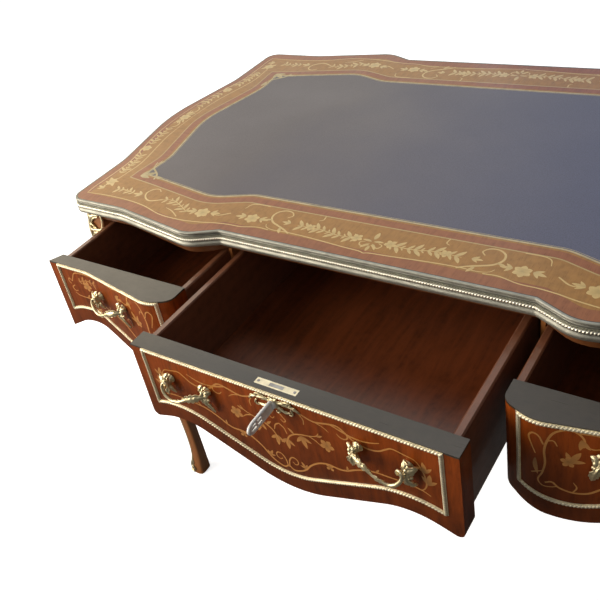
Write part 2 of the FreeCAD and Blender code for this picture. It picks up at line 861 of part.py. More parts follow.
def kickers():
    z_low = front_top - side_top_drop + slide_clearance
    return runner_bars(z_low, top_under, -rail_back_y, rail_back_y)


def outer_guides():
    """Guides beside the outer drawer sides, each with a foot beside the runner."""
    (_, y0), (y1, _) = bearer_places()
    foot_x = side_box_outer + slide_clearance
    guide_x = side_box_outer + run_clearance
    foot = block(foot_x, guide_x + guide_width, y0, y1, bearer_low, bearer_top)
    guide = block(guide_x, guide_x + guide_width, y0, y1, bearer_top, bearer_top + guide_height)
    return both_ends(foot.fuse(guide).removeSplitter())


def glue_blocks():
    """Blocks glued in the angle of the end aprons and the top, and behind the back rail."""
    side_x = post_out_x - apron_thickness
    z0, z1 = top_under - glue_block, top_under
    half = glue_block_length / 2
    ends = [block(side_x - glue_block, side_x, y - half, y + half, z0, z1)
            for y in (-side_shoulder_y - half, side_shoulder_y + half)]
    rear = [block(x - half, x + half, rail_back_y - glue_block, rail_back_y, z0, z1)
            for x in (-side_ear_x - glue_block_length, 0, side_ear_x + glue_block_length)]
    return Part.makeCompound([both_ends(Part.makeCompound(ends))] + rear)


def save(shape, node):
    shape.exportStep("parts/" + node + ".step")


def build_top():
    outline = top_outline()
    leather = leather_outline()
    z0, z1 = core_top, desk_height
    rim = inset(outline, rim_width)
    field = inset(outline, rim_width + crossband_width)
    save(slab(inset(outline, moulding_width), top_under, core_top), "top_core")
    save(top_moulding(outline), "top_edge_moulding")
    save(ring(rim, field, z0, z1), "outer_crossband")
    save(ring(field, leather, z0, z1), "marquetry_band")
    save(slab(leather, z0, z1), "writing_leather")


def build_carcass():
    front_right = leg()
    save(front_right, "front_right_leg")
    save(mirror_x(front_right), "front_left_leg")
    save(mirror_y(front_right), "back_right_leg")
    save(mirror_x(mirror_y(front_right)), "back_left_leg")
    save(four_corners(knee_mount()), "knee_mounts")
    save(four_corners(edge_strip()), "leg_edge_strips")
    save(four_corners(sabot()), "sabots")
    save(rail().cut(bolt_pocket()), "front_rail")
    save(mirror_y(rail()), "back_rail")
    save(back_board(), "back_board")
    save(end_apron(), "right_apron")
    save(mirror_x(end_apron()), "left_apron")
    save(divider(), "right_divider")
    save(mirror_x(divider()), "left_divider")
    save(bearer_rails(), "bearer_rails")
    save(runners(), "drawer_runners")
    save(outer_guides(), "drawer_guides")
    save(kickers(), "drawer_kickers")
    save(glue_blocks(), "glue_blocks")


def build_back():
    """False fronts at the back repeat the three drawers."""
    save(mirror_y(centre_front_body()), "back_centre_false_front")
    save(both_ends(mirror_y(side_front_body())), "back_side_false_fronts")


def split_cap(front):
    """Parts the ebonised capping from the front below it."""
    span = half_length + side_bulge
    upper = block(-span, span, -span, span, front_top - front_cap, front_top)
    return front.cut(upper), front.common(upper)


def build_side_drawer(placed, prefix):
    """The right drawer, or the left one where placed mirrors it."""
    sides, back, floor_board = drawer_box(side_box_inner, side_box_outer, side_box_length)
    front, cap = split_cap(side_front_body().cut(floor_board))
    pieces = {
        "front": front, "cap": cap, "sides": sides, "back": back, "floor": floor_board,
        "rope_border": side_border(), "pull": side_pull(),
    }
    for name, shape in pieces.items():
        save(placed(pulled(shape, side_open)), prefix + name)


def build_centre_drawer():
    half = centre_box_half
    sides, back, floor_board = drawer_box(-half, half, centre_box_length)
    case_slot, plate_slot = lock_slot()
    body = centre_front_body().cut(floor_board).cut(case_slot).cut(plate_slot)
    front, cap = split_cap(body.cut(key_hole(-centre_face_y, -lock_y)))
    case, plate, bolt = lock_parts()
    right_pull = pull().translated(Vec(centre_pull_x, -centre_face_y, pull_z))
    pieces = {
        "centre_drawer_front": front, "centre_drawer_cap": cap, "centre_drawer_sides": sides,
        "centre_drawer_back": back, "centre_drawer_floor": floor_board,
        "centre_drawer_rope_border": centre_border(),
        "centre_drawer_pulls": both_ends(right_pull), "escutcheon": escutcheon(),
        "lock_case": case, "lock_plate": plate, "lock_bolt": bolt, "key": key_solid(),
    }
    for name, shape in pieces.items():
        save(pulled(shape, centre_open), name)


build_top()
build_carcass()
build_back()
build_side_drawer(as_built, "right_drawer_")
build_side_drawer(mirror_x, "left_drawer_")
build_centre_drawer()
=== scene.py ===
"""Finish of the serpentine writing table: veneers, inlay, leather, gilt mounts and studio.

Design sizes are in millimetres in the desk's own frame: X along the desk, the sitter faces
+Y, Z up. MM turns them into Blender's metres.
"""

import math

import bmesh
import bpy
from bpy.props import FloatProperty, FloatVectorProperty, PointerProperty
from bpy.types import Operator, Panel, PropertyGroup
from mathutils import Matrix, Vector


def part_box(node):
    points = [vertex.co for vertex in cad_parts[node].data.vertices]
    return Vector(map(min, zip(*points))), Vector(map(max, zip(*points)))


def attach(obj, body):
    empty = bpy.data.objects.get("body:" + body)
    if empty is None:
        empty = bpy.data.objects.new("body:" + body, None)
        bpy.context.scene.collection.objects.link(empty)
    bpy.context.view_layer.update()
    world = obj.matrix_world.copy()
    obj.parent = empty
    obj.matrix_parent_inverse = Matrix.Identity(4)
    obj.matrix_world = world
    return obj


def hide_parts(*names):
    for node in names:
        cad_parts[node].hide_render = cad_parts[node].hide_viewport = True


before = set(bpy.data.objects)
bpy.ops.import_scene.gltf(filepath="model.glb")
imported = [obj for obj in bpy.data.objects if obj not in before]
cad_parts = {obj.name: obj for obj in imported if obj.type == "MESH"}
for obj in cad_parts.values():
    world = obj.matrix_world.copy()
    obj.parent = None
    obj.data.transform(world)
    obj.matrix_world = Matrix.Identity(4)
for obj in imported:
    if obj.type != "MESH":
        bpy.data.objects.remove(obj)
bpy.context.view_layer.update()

bl_info = {
    "name": "Serpentine Writing Table",
    "version": (1, 0, 0),
    "blender": (4, 5, 0),
    "location": "3D View > Sidebar > Desk",
    "description": "Builds the finish of a serpentine writing table around its solids",
    "category": "Object",
}

MM = 0.001


def low_high(node):
    """Corners of a solid's box in millimetres."""
    low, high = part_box(node)
    return low / MM, high / MM


# Places taken from the solids
TOP_Z = low_high("writing_leather")[1].z
TOP_UNDER = low_high("top_edge_moulding")[0].z
CENTRE_LOW, CENTRE_HIGH = low_high("centre_drawer_front")
CENTRE_FACE = CENTRE_LOW.y
CENTRE_CAP_TOP = low_high("centre_drawer_cap")[1].z
SIDE_LOW, SIDE_HIGH = low_high("right_drawer_front")
BACK_FACE = low_high("back_centre_false_front")[1].y
PLATE_LOW, PLATE_HIGH = low_high("lock_plate")
KEY_LOW, KEY_HIGH = low_high("key")
APRON_LOW, APRON_HIGH = low_high("right_apron")

# Outlines in plan, one quarter each: x, y, radius of the bend
TOP_QUARTER = ((256, 353, 0), (311, 380, 60), (486, 350, 150), (620, 350, 26), (620, 195, 150))
TOP_END = (659, 0, 300)
LEATHER_QUARTER = ((262, 240, 70), (335, 267, 90), (480, 240, 0), (530, 232, 0), (523, 165, 120))
LEATHER_END = (562, 0, 170)
# The face of the right drawer front in plan: x and how far it stands before its outer end
SIDE_FACE_PLAN = ((264, 12, 0), (302, 31, 55), (470, 0, 150), (566, 0, 0))
# Lower lines of fronts and aprons
CENTRE_LOWER = ((-255, 584, 9), (-185, 608, 110), (0, 536, 150), (185, 608, 110), (255, 584, 9))
SIDE_LOWER = ((264, 590, 9), (345, 562, 100), (500, 620, 80), (566, 583, 0))
APRON_LOWER = ((-283, 583, 0), (-170, 615, 90), (0, 562, 150), (170, 615, 90), (283, 583, 0))
APRON_PLAN = ((604.5, -283, 0), (604.5, -195, 150), (643.5, 0, 300), (604.5, 195, 150), (604.5, 283, 0))

# Rope borders
BORDER_SIDE = 19.0
BORDER_BOTTOM = 26.5
BORDER_WIDTH = 6.5
BORDER_TOP_DROP = 1.2
STRIP_STAND = 0.6
STRIP_MARGIN = 0.2
ROPE_OUT = STRIP_STAND + 0.15
DRAWER_ROPE_RADIUS = 2.45
TOP_ROPE_RADIUS = 3.2
DRAWER_ROPE_RELIEF = 0.34
TOP_ROPE_RELIEF = 0.38
# How far the top's wood and leather lie below the moulding's lip, so the inlay stays within it
TOP_SINK = 0.12
ROPE_SIDES = 10
ROPE_STRANDS = 2
ROPE_STEP_SHARE = 0.16
CURVE_STEP = 2.0
# Overlapping pieces of inlay each get a level of their own, so no two faces share a plane
INLAY_LEVELS = 19
# Between these places along the desk a painted bluish reflection of the sky grows over the leather's own
# colour
SKY_SHEEN_FROM, SKY_SHEEN_TO = -330.0, 330.0
# Bands and lines of the top: from and to, beside the leather's edge and inside the rim
INNER_CROSSBAND = (-19.5, -4.0)
INNER_LINE = (-21.8, -19.5)
GOLD_LINE = (0.3, 3.6)
GOLD_TOOLING = (5.4, 6.2)
EDGE_STRINGING = (4.0, 5.3)
TOOLED_CORNER = 9
# Mirrors of a drawn pattern: both halves of a panel, the four quarters of the top
BOTH_HALVES = ((1, 1), (-1, 1))
FOUR_QUARTERS = ((1, 1), (-1, 1), (1, -1), (-1, -1))
# The least that a line drawn beside another one moves on in a tight bend
LEAST_RUN_SHARE = 0.03


# Sizes and colours
class DeskSizes(PropertyGroup):
    inlay_thickness: FloatProperty(
        name="Inlay thickness", description="How deep the inlaid woods are cut", default=0.25 * MM,
        unit="LENGTH",
    )
    inlay_stand: FloatProperty(
        name="Inlay stand", description="How far the inlay stands out of the ground veneer",
        default=0.10 * MM, unit="LENGTH",
    )
    line_width: FloatProperty(
        name="Stem width", description="Width of a drawn stem", default=2.4 * MM, unit="LENGTH"
    )
    rope_pitch: FloatProperty(
        name="Rope pitch", description="Distance between two strands of the rope mouldings",
        default=4.2 * MM, unit="LENGTH",
    )
    casting_grain: FloatProperty(
        name="Casting grain", description="Smallest detail in the cast mounts", default=0.6 * MM,
        unit="LENGTH",
    )
    lens: FloatProperty(name="Lens", description="Focal length on a 36 mm frame", default=47.858)


class DeskColours(PropertyGroup):
    def colour(name, about, red, green, blue):
        return FloatVectorProperty(
            name=name, description=about, subtype="COLOR", size=3, min=0, max=1,
            default=(red, green, blue),
        )

    ground: colour("Ground veneer", "Wood behind the inlay of the top", 0.36, 0.182, 0.046)
    crossband: colour("Crossband", "Wood of the bands along the edges", 0.30, 0.115, 0.048)
    front: colour("Front veneer", "Wood of drawer fronts and aprons", 0.180, 0.036, 0.0044)
    leg: colour("Leg veneer", "Wood of legs and frame", 0.30, 0.112, 0.032)
    inlay: colour("Inlay", "Pale woods of scrolls and flowers on the fronts", 0.56, 0.255, 0.065)
    pale_inlay: colour("Top inlay", "Pale woods of scrolls and flowers on the top", 0.68, 0.50, 0.20)
    lining: colour("Drawer lining", "Stained wood inside the drawers", 0.150, 0.054, 0.025)
    floor: colour("Drawer floor", "Stained wood of the drawer floors", 0.130, 0.032, 0.009)
    rail: colour("Rails", "Wood of the rails under the top", 0.120, 0.042, 0.013)
    ebonised: colour("Ebonised wood", "Black capping of the fronts", 0.034, 0.027, 0.018)
    secondary: colour("Frame wood", "Unpolished wood of the frame", 0.33, 0.19, 0.09)
    # The first leather colour holds a painted bluish reflection of the sky; the second is the leather's own
    # colour, where no reflection is painted.
    leather: colour("Leather", "Dyed writing leather", 0.086, 0.098, 0.190)
    leather_without_sky_sheen: colour("Faded leather", "The same leather browned by the light of a window", 0.104, 0.084, 0.090)
    gilt: colour("Gilt brass", "Lacquered gilt metal", 0.80, 0.70, 0.44)
    moulding: colour("Edge brass", "Patinated brass of the edge", 0.370, 0.370, 0.320)
    pale_brass: colour("Border brass", "Rubbed pale brass of the ropes", 0.88, 0.80, 0.58)
    edge_rope: colour("Edge rope", "Pale worn brass of the rope around the top", 0.800, 0.780, 0.660)
    tooled: colour("Tooled gold", "Gold leaf pressed into the leather", 0.56, 0.47, 0.28)
    steel: colour("Lock steel", "Steel of the lock", 0.36, 0.35, 0.34)
    nickel: colour("Key metal", "Bright metal of the key", 0.950, 0.950, 0.940)


def sizes():
    return bpy.context.scene.desk_sizes


def colours():
    return bpy.context.scene.desk_colours


# Lines
def rounded(corners, closed):
    """Points a few millimetres apart along straight runs joined by tangent arcs."""
    count = len(corners)
    line = []
    for i, (x, y, radius) in enumerate(corners):
        here = Vector((x, y))
        if radius == 0 or (not closed and i in (0, count - 1)):
            line.append(here)
            continue
        back = (Vector(corners[i - 1][:2]) - here).normalized()
        ahead = (Vector(corners[(i + 1) % count][:2]) - here).normalized()
        half = back.angle(ahead) / 2
        centre = here + (back + ahead).normalized() * (radius / math.sin(half))
        start = here + back * (radius / math.tan(half)) - centre
        end = here + ahead * (radius / math.tan(half)) - centre
        turn = start.angle_signed(end)
        steps = max(2, math.ceil(radius * abs(turn) / CURVE_STEP))
        for k in range(steps + 1):
            line.append(centre + Matrix.Rotation(-turn * k / steps, 2) @ start)
    return line


def lengths_along(line, closed):
    ends = line[1:] + line[:1] if closed else line[1:]
    total, marks = 0.0, [0.0]
    for a, b in zip(line, ends):
        total += (b - a).length
        marks.append(total)
    return marks


def even(line, step, closed=False):
    """The same line with its points evenly spaced."""
    marks = lengths_along(line, closed)
    points = line + line[:1] if closed else line
    count = max(2, round(marks[-1] / step))
    spaced, at = [], 0
    for k in range(count if closed else count + 1):
        target = marks[-1] * k / count
        while at < len(marks) - 2 and marks[at + 1] < target:
            at += 1
        run = marks[at + 1] - marks[at]
        share = (target - marks[at]) / run if run else 0
        spaced.append(points[at].lerp(points[at + 1], share))
    return spaced


def flowing(points, step=CURVE_STEP):
    """A smooth line through a few design points."""
    points = [Vector(p) for p in points]
    ends = [points[0] * 2 - points[1]] + points + [points[-1] * 2 - points[-2]]
    line = []
    for p0, p1, p2, p3 in zip(ends, ends[1:], ends[2:], ends[3:]):
        steps = max(2, math.ceil((p2 - p1).length / step))
        for k in range(steps):
            t = k / steps
            line.append((p1 * 2 + (p2 - p0) * t + (p0 * 2 - p1 * 5 + p2 * 4 - p3) * t * t
                         + (p1 * 3 - p0 - p2 * 3 + p3) * t * t * t) / 2)
    return line + [points[-1]]


def sideways(line, closed=False):
    """Left-hand normals of a flat line, long enough at corners to keep it parallel."""
    count = len(line)
    normals = []
    for i, p in enumerate(line):
        before = line[i - 1] if closed or i else None
        after = line[(i + 1) % count] if closed or i + 1 < count else None
        pairs = [(a, b) for a, b in ((before, p), (p, after)) if a is not None and b is not None]
        runs = [(b - a).normalized() for a, b in pairs if (b - a).length > 0]
        sides = [Vector((-r.y, r.x)) for r in runs]
        if len(sides) == 1:
            normals.append(sides[0])
        else:
            normals.append((sides[0] + sides[1]) / max(0.3, 1 + sides[0].dot(sides[1])))
    return normals


def unfolded(line, beside):
    """Keeps a line drawn beside another one from turning back on itself in tight bends."""
    for i in range(1, len(line)):
        run = line[i] - line[i - 1]
        if (beside[i] - beside[i - 1]).dot(run) < LEAST_RUN_SHARE * run.length_squared:
            beside[i] = beside[i - 1] + run * LEAST_RUN_SHARE
    return beside


def parallel(line, distance, closed=True):
    """A line beside another one, to its left for a positive distance."""
    return unfolded(line, [p + n * distance for p, n in zip(line, sideways(line, closed))])


def around(quarter, end):
    """Mirrors a quarter outline into a closed one that runs anticlockwise from the front."""
    front_right = [(x, -y, r) for x, y, r in quarter]
    back_right = [(x, y, r) for x, y, r in reversed(quarter)]
    back_left = [(-x, y, r) for x, y, r in quarter]
    front_left = [(-x, -y, r) for x, y, r in reversed(quarter)]
    other_end = (-end[0], end[1], end[2])
    return rounded(front_right + [end] + back_right + back_left + [other_end] + front_left, True)


def height_on(line, x):
    """Second coordinate of a line at a place along its first."""
    for a, b in zip(line, line[1:]):
        if min(a.x, b.x) <= x <= max(a.x, b.x) and a.x != b.x:
            return a.y + (b.y - a.y) * (x - a.x) / (b.x - a.x)
    return line[0].y if abs(x - line[0].x) < abs(x - line[-1].x) else line[-1].y


# Places on the desk
side_plan = rounded([(x, -rise, r) for x, rise, r in SIDE_FACE_PLAN], False)
apron_plan = rounded([(y, x, r) for x, y, r in APRON_PLAN], False)
SIDE_FACE_SHUT = 328.0
SIDE_OPEN = 148.0
SIDE_FACE_STRAIGHT = -(SIDE_FACE_SHUT + SIDE_OPEN)


def in_plan(x, y, z):
    return Vector((x, y, z)) * MM


def on_top(x, y, level):
    return Vector((x, y, TOP_Z - TOP_SINK + level)) * MM


def on_centre_front(x, z, level):
    return Vector((x, CENTRE_FACE - level, z)) * MM


def on_side_front(x, z, level):
    return Vector((x, SIDE_FACE_STRAIGHT + height_on(side_plan, x) - level, z)) * MM


def on_back_centre(x, z, level):
    return Vector((x, BACK_FACE + level, z)) * MM


def on_back_side(x, z, level):
    return Vector((x, SIDE_FACE_SHUT - height_on(side_plan, x) + level, z)) * MM


def on_apron(y, z, level):
    return Vector((height_on(apron_plan, y) + level, y, z)) * MM


# Mesh helpers
def mesh_from(name, bm):
    mesh = bpy.data.meshes.new(name)
    bm.to_mesh(mesh)
    bm.free()
    return mesh


def linked(name, data):
    """An object in the scene that shows some data: a mesh, a light or a camera."""
    made = bpy.data.objects.new(name, data)
    bpy.context.scene.collection.objects.link(made)
    return made


def evaluated(blank):
    """The mesh of an object with its modifiers applied."""
    bpy.context.view_layer.update()
    return bpy.data.meshes.new_from_object(blank.evaluated_get(bpy.context.evaluated_depsgraph_get()))


def outward(bm, verts):
    """Turns the faces around some vertices outwards."""
    faces = list({f for v in verts if v.is_valid for f in v.link_faces})
    bmesh.ops.recalc_face_normals(bm, faces=faces)


def finished(name, bm, body, finish, smooth_angle=40):
    """Turns a bmesh into a piece that rides on a body of the frame."""
    mesh = mesh_from(name, bm)
    mesh.shade_smooth()
    mesh.set_sharp_from_angle(angle=math.radians(smooth_angle))
    piece = linked(name, mesh)
    mesh.materials.append(material(finish))
    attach(piece, body)
    return piece


def inlaid(name, bm, body, finish):
    """A flat sheet of wood or gold, with its thickness below its face."""
    piece = finished(name, bm, body, finish)
    piece.data.shade_flat()
    thick = piece.modifiers.new("Thickness", "SOLIDIFY")
    thick.thickness = sizes().inlay_thickness
    thick.offset = -1


def grid(bm, along, across, place, close_along=False, close_across=False):
    """A sheet of along by across cells, each corner put where place(i, j) says."""
    verts = bmesh.ops.create_grid(bm, x_segments=along, y_segments=across, size=1.0)["verts"]
    for index, vert in enumerate(verts):
        i, j = index % (along + 1), index // (along + 1)
        vert.co = place(0 if close_along and i == along else i, 0 if close_across and j == across else j)
    if close_along or close_across:
        bmesh.ops.remove_doubles(bm, verts=verts, dist=0.002 * MM)
    return [v for v in verts if v.is_valid]


def section_sweep(bm, line, section, place):
    """Carries a closed section of (out, up) along a closed flat line."""
    normals = sideways(line, True)
    count = len(line)

    def corner(i, j):
        out, up = section[j]
        p = line[i % count] - normals[i % count] * out
        return place(p.x, p.y, up)

    outward(bm, grid(bm, count, len(section), corner, True, True))


def frames_along(line):
    """A side and an up direction at each point of a line in space, without twist."""
    tangents = [(b - a).normalized() for a, b in zip(line, line[1:])]
    tangents.append(tangents[-1])
    side = tangents[0].orthogonal().normalized()
    sides = []
    for tangent in tangents:
        side = (side - tangent * side.dot(tangent)).normalized()
        sides.append((side, tangent.cross(side)))
    return sides


def tube(bm, line, radius_at, around_count):
    """A closed round bar along a line in space; radius_at takes the share of its length."""
    frames = frames_along(line)
    count = len(line) - 1

    def corner(i, j):
        side, up = frames[i]
        radius = radius_at(i / count) * MM
        angle = 2 * math.pi * j / around_count
        return line[i] * MM + side * (radius * math.cos(angle)) + up * (radius * math.sin(angle))

    verts = grid(bm, count, around_count, corner, False, True)
    edges = [e for v in verts for e in v.link_edges if e.is_boundary]
    bmesh.ops.holes_fill(bm, edges=list(set(edges)), sides=0)
    outward(bm, verts)


def rope(bm, line, out_at, radius, relief, place):
    """A twisted rope along a closed flat line, its middle out_at above the surface."""
    pitch = sizes().rope_pitch / MM
    line = even(line, pitch * ROPE_STEP_SHARE, True)
    normals = sideways(line, True)
    count = len(line)
    spacing = lengths_along(line, True)[-1] / count

    def corner(i, j):
        i = i % count
        angle = 2 * math.pi * j / ROPE_SIDES
        twist = 2 * math.pi * i * spacing / (pitch * ROPE_STRANDS)
        lobe = abs(math.cos(ROPE_STRANDS * (angle - twist) / 2))
        reach = radius * (1 - relief + relief * lobe)
        p = line[i] - normals[i] * (reach * math.cos(angle))
        return place(p.x, p.y, out_at + reach * math.sin(angle))

    outward(bm, grid(bm, count, ROPE_SIDES, corner, True, True))


# Turns that lay a wood's grain along one axis
GRAIN_X = (0.0, 0.0, 0.0)
GRAIN_Y = (0.0, 0.0, math.pi / 2)
GRAIN_Z = (0.0, math.pi / 2, 0.0)
# Tints that a finish is multiplied by or fades into
WHITE = (1.0, 1.0, 1.0)
PORE_TINT = (0.35, 0.28, 0.24, 1.0)
FIBRE_TINT = (0.78, 0.68, 0.60, 1.0)
# The near-black that the painted shade at the fronts' lower edge fades into
LOW_SHADE = (0.012, 0.005, 0.003, 1.0)


# Materials
def socket_value(tree, socket, value):
    if isinstance(value, bpy.types.NodeSocket):
        tree.links.new(value, socket)
    else:
        socket.default_value = value


def add(tree, kind, settings, inputs):
    """A node with its settings and its inputs, which are values or other nodes' outputs."""
    made = tree.nodes.new("ShaderNode" + kind)
    for key, value in settings.items():
        setattr(made, key, value)
    for key, value in inputs.items():
        socket_value(tree, made.inputs[key], value)
    return made


def maths(tree, operation, *values):
    return add(tree, "Math", {"operation": operation}, dict(enumerate(values))).outputs[0]


def blend(tree, share, first, second, mode="MIX"):
    """Two colours mixed; 0, 6 and 7 are the mix node's factor and colour inputs, 2 its colour output."""
    settings = {"data_type": "RGBA", "blend_type": mode}
    return add(tree, "Mix", settings, {0: share, 6: first, 7: second}).outputs[2]


def tinted(tree, colour, tint):
    return blend(tree, 1.0, colour, tint, "MULTIPLY")


def ramp(tree, value, low, high, to_low=0.0, to_high=1.0):
    return add(tree, "MapRange", {}, {0: value, 1: low, 2: high, 3: to_low, 4: to_high}).outputs[0]


def noise(tree, vector, scale, detail, rough=0.55, twist=0.0):
    inputs = {"Vector": vector, "Scale": scale, "Detail": detail, "Roughness": rough, "Distortion": twist}
    return add(tree, "TexNoise", {}, inputs).outputs["Fac"]


def stretched(tree, vector, x, y, z):
    return add(tree, "VectorMath", {"operation": "MULTIPLY"}, {0: vector, 1: (x, y, z)}).outputs[0]


def new_group(name, ins, outs):
    """An empty node group with named inputs and outputs."""
    tree = bpy.data.node_groups.new(name, "ShaderNodeTree")
    for label, kind, value in ins:
        made = tree.interface.new_socket(label, in_out="INPUT", socket_type="NodeSocket" + kind)
        if value is not None:
            made.default_value = value
    for label, kind in outs:
        tree.interface.new_socket(label, in_out="OUTPUT", socket_type="NodeSocket" + kind)
    return tree, tree.nodes.new("NodeGroupInput").outputs, tree.nodes.new("NodeGroupOutput").inputs


def timber_group():
    """Grain of a polished wood: bands, fibres and pores along the first axis given."""
    ins = (
        ("Vector", "Vector", None), ("Light", "Color", None), ("Dark", "Color", None),
        ("Bands", "Float", 14.0), ("Figure", "Float", 0.5), ("Pores", "Float", 0.5),
        ("Clouds", "Float", 0.16),
    )
    outs = (("Colour", "Color"), ("Height", "Float"), ("Roughness", "Float"))
    tree, given, made = new_group("Timber", ins, outs)
    along = stretched(tree, given["Vector"], 1, 9, 9)
    slow = {"Vector": given["Vector"], "Scale": 5.0, "Detail": 2.0}
    sway = add(tree, "TexNoise", {}, slow).outputs["Color"]
    swaying = {0: sway, 1: (0.25, 0.25, 0.25), 2: along}
    swayed = add(tree, "VectorMath", {"operation": "MULTIPLY_ADD"}, swaying).outputs[0]
    bands = noise(tree, swayed, given["Bands"], 5.0, 0.6, 0.4)
    fibre = noise(tree, stretched(tree, given["Vector"], 14, 260, 260), 1.0, 3.0, 0.7)
    pore = noise(tree, stretched(tree, given["Vector"], 60, 900, 900), 1.0, 2.0, 0.5)
    broad = noise(tree, given["Vector"], 3.2, 2.0)
    mask = ramp(tree, bands, 0.34, 0.66)
    mask = maths(tree, "ADD", maths(tree, "MULTIPLY", mask, 0.65), maths(tree, "MULTIPLY", fibre, 0.35))
    off_middle = maths(tree, "SUBTRACT", mask, 0.5)
    mask = maths(tree, "ADD", 0.5, maths(tree, "MULTIPLY", off_middle, given["Figure"]))
    clouds = maths(tree, "MULTIPLY", ramp(tree, broad, 0.3, 0.7, -1.0, 1.0), given["Clouds"])
    mask = maths(tree, "ADD", mask, clouds)
    wood = blend(tree, mask, given["Dark"], given["Light"])
    dark_pores = maths(tree, "MULTIPLY", ramp(tree, pore, 0.60, 0.72), given["Pores"])
    wood = blend(tree, dark_pores, wood, tinted(tree, wood, PORE_TINT))
    tree.links.new(wood, made["Colour"])
    height = maths(tree, "SUBTRACT", maths(tree, "MULTIPLY", fibre, 0.3), dark_pores)
    tree.links.new(height, made["Height"])
    tree.links.new(ramp(tree, maths(tree, "ADD", fibre, dark_pores), 0.3, 1.2, 0.30, 0.46), made["Roughness"])


def handled_group():
    """Use marks over a finish: rubbed raised edges, faint smears, and hollows darkened partly by dust and
    partly by painted shade.
    """
    ins = (
        ("Vector", "Vector", None), ("Colour", "Color", None), ("Worn", "Color", None),
        ("Grime", "Color", None), ("Wear", "Float", 0.5), ("Dirt", "Float", 0.5),
    )
    tree, given, made = new_group("Handled", ins, (("Colour", "Color"), ("Smear", "Float")))
    edge = tree.nodes.new("ShaderNodeNewGeometry").outputs["Pointiness"]
    mottled = noise(tree, given["Vector"], 90.0, 4.0)
    raised = maths(tree, "MULTIPLY", ramp(tree, edge, 0.515, 0.60), ramp(tree, mottled, 0.30, 0.62))
    # Painted shade and dirt: hollows darken towards the grime colour, both as dust and as shade where less
    # light reaches.
    dirt_and_shade_mask = ramp(tree, edge, 0.49, 0.42)
    worn = blend(tree, maths(tree, "MULTIPLY", raised, given["Wear"]), given["Colour"], given["Worn"])
    dirtied_and_shaded = blend(tree, maths(tree, "MULTIPLY", dirt_and_shade_mask, given["Dirt"]), worn, given["Grime"])
    tree.links.new(dirtied_and_shaded, made["Colour"])
    smears = noise(tree, given["Vector"], 11.0, 3.0)
    tree.links.new(ramp(tree, smears, 0.35, 0.75, 0.0, 0.12), made["Smear"])


def group_node(tree, name, inputs):
    made = tree.nodes.new("ShaderNodeGroup")
    made.node_tree = bpy.data.node_groups[name]
    for key, value in inputs.items():
        socket_value(tree, made.inputs[key], value)
    return made.outputs


def opaque(colour, factor=1.0):
    return (colour[0] * factor, colour[1] * factor, colour[2] * factor, 1.0)


def new_material(name):
    finish = bpy.data.materials.new(name)
    finish.use_nodes = True
    tree = finish.node_tree
    shader = tree.nodes["Principled BSDF"]
    where = tree.nodes.new("ShaderNodeTexCoord").outputs["Object"]
    return tree, shader, where


def shader_values(shader, **values):
    """Sets the shader's own sockets, their names written with underscores."""
    for name, value in values.items():
        shader.inputs[name.replace("_", " ")].default_value = value


def with_bump(tree, shader, height, distance, strength):
    bump = add(tree, "Bump", {}, {"Strength": strength, "Distance": distance, "Height": height})
    tree.links.new(bump.outputs[0], shader.inputs["Normal"])


def grained(tree, where, turn, colour, contrast, **values):
    """The timber group on coordinates turned along the grain, its bands lighter and darker."""
    laid = add(tree, "Mapping", {}, {"Vector": where, "Rotation": turn}).outputs[0]
    inputs = {"Vector": laid, "Light": opaque(colour, contrast), "Dark": opaque(colour, 1 / contrast)}
    return group_node(tree, "Timber", inputs | values)


def handled(tree, where, shown, colour, worn, wear, hollow_dirt_and_shade, dirt_and_shade_colour=None):
    """The use marks, with painted shade in the hollows, over a colour that is already on the piece."""
    inputs = {
        "Vector": where, "Colour": shown, "Worn": opaque(colour, worn),
        "Grime": dirt_and_shade_colour or opaque(colour, 0.3),
    }
    return group_node(tree, "Handled", inputs | {"Wear": wear, "Dirt": hollow_dirt_and_shade})


def wood_material(
    name, colour, along, contrast, figure=0.7, bands=14.0, polish=0.8, gloss=0.5, rough_shift=0.0,
    coat_rough=0.14, coat_ior=1.5, clouds=0.16, painted_low_shade=None,
):
    """A wood finish whose grain lies along.

    The last argument gives the heights between which a painted shade darkens the wood towards the bottom, and
    the share that stays.
    """
    tree, shader, where = new_material(name)
    timber = grained(tree, where, along, colour, contrast, Bands=bands, Figure=figure, Clouds=clouds)
    used = handled(tree, where, timber["Colour"], colour, 1.6, 0.5, 0.4)
    shown = used["Colour"]
    if painted_low_shade:
        # Painted shade: the wood darkens towards the bottom, as where less light reaches.
        low, high, share = painted_low_shade
        height = add(tree, "SeparateXYZ", {}, {"Vector": where}).outputs["Z"]
        depth = ramp(tree, height, low * MM, high * MM, 1 - share, 0.0)
        shown = blend(tree, depth, shown, LOW_SHADE)
    tree.links.new(shown, shader.inputs["Base Color"])
    rough = maths(tree, "ADD", timber["Roughness"], used["Smear"])
    tree.links.new(maths(tree, "ADD", rough, rough_shift), shader.inputs["Roughness"])
    with_bump(tree, shader, timber["Height"], 0.12 * MM, 0.35)
    shader_values(
        shader, Coat_Weight=polish, Coat_Roughness=coat_rough, Coat_IOR=coat_ior,
        Specular_IOR_Level=gloss,
    )


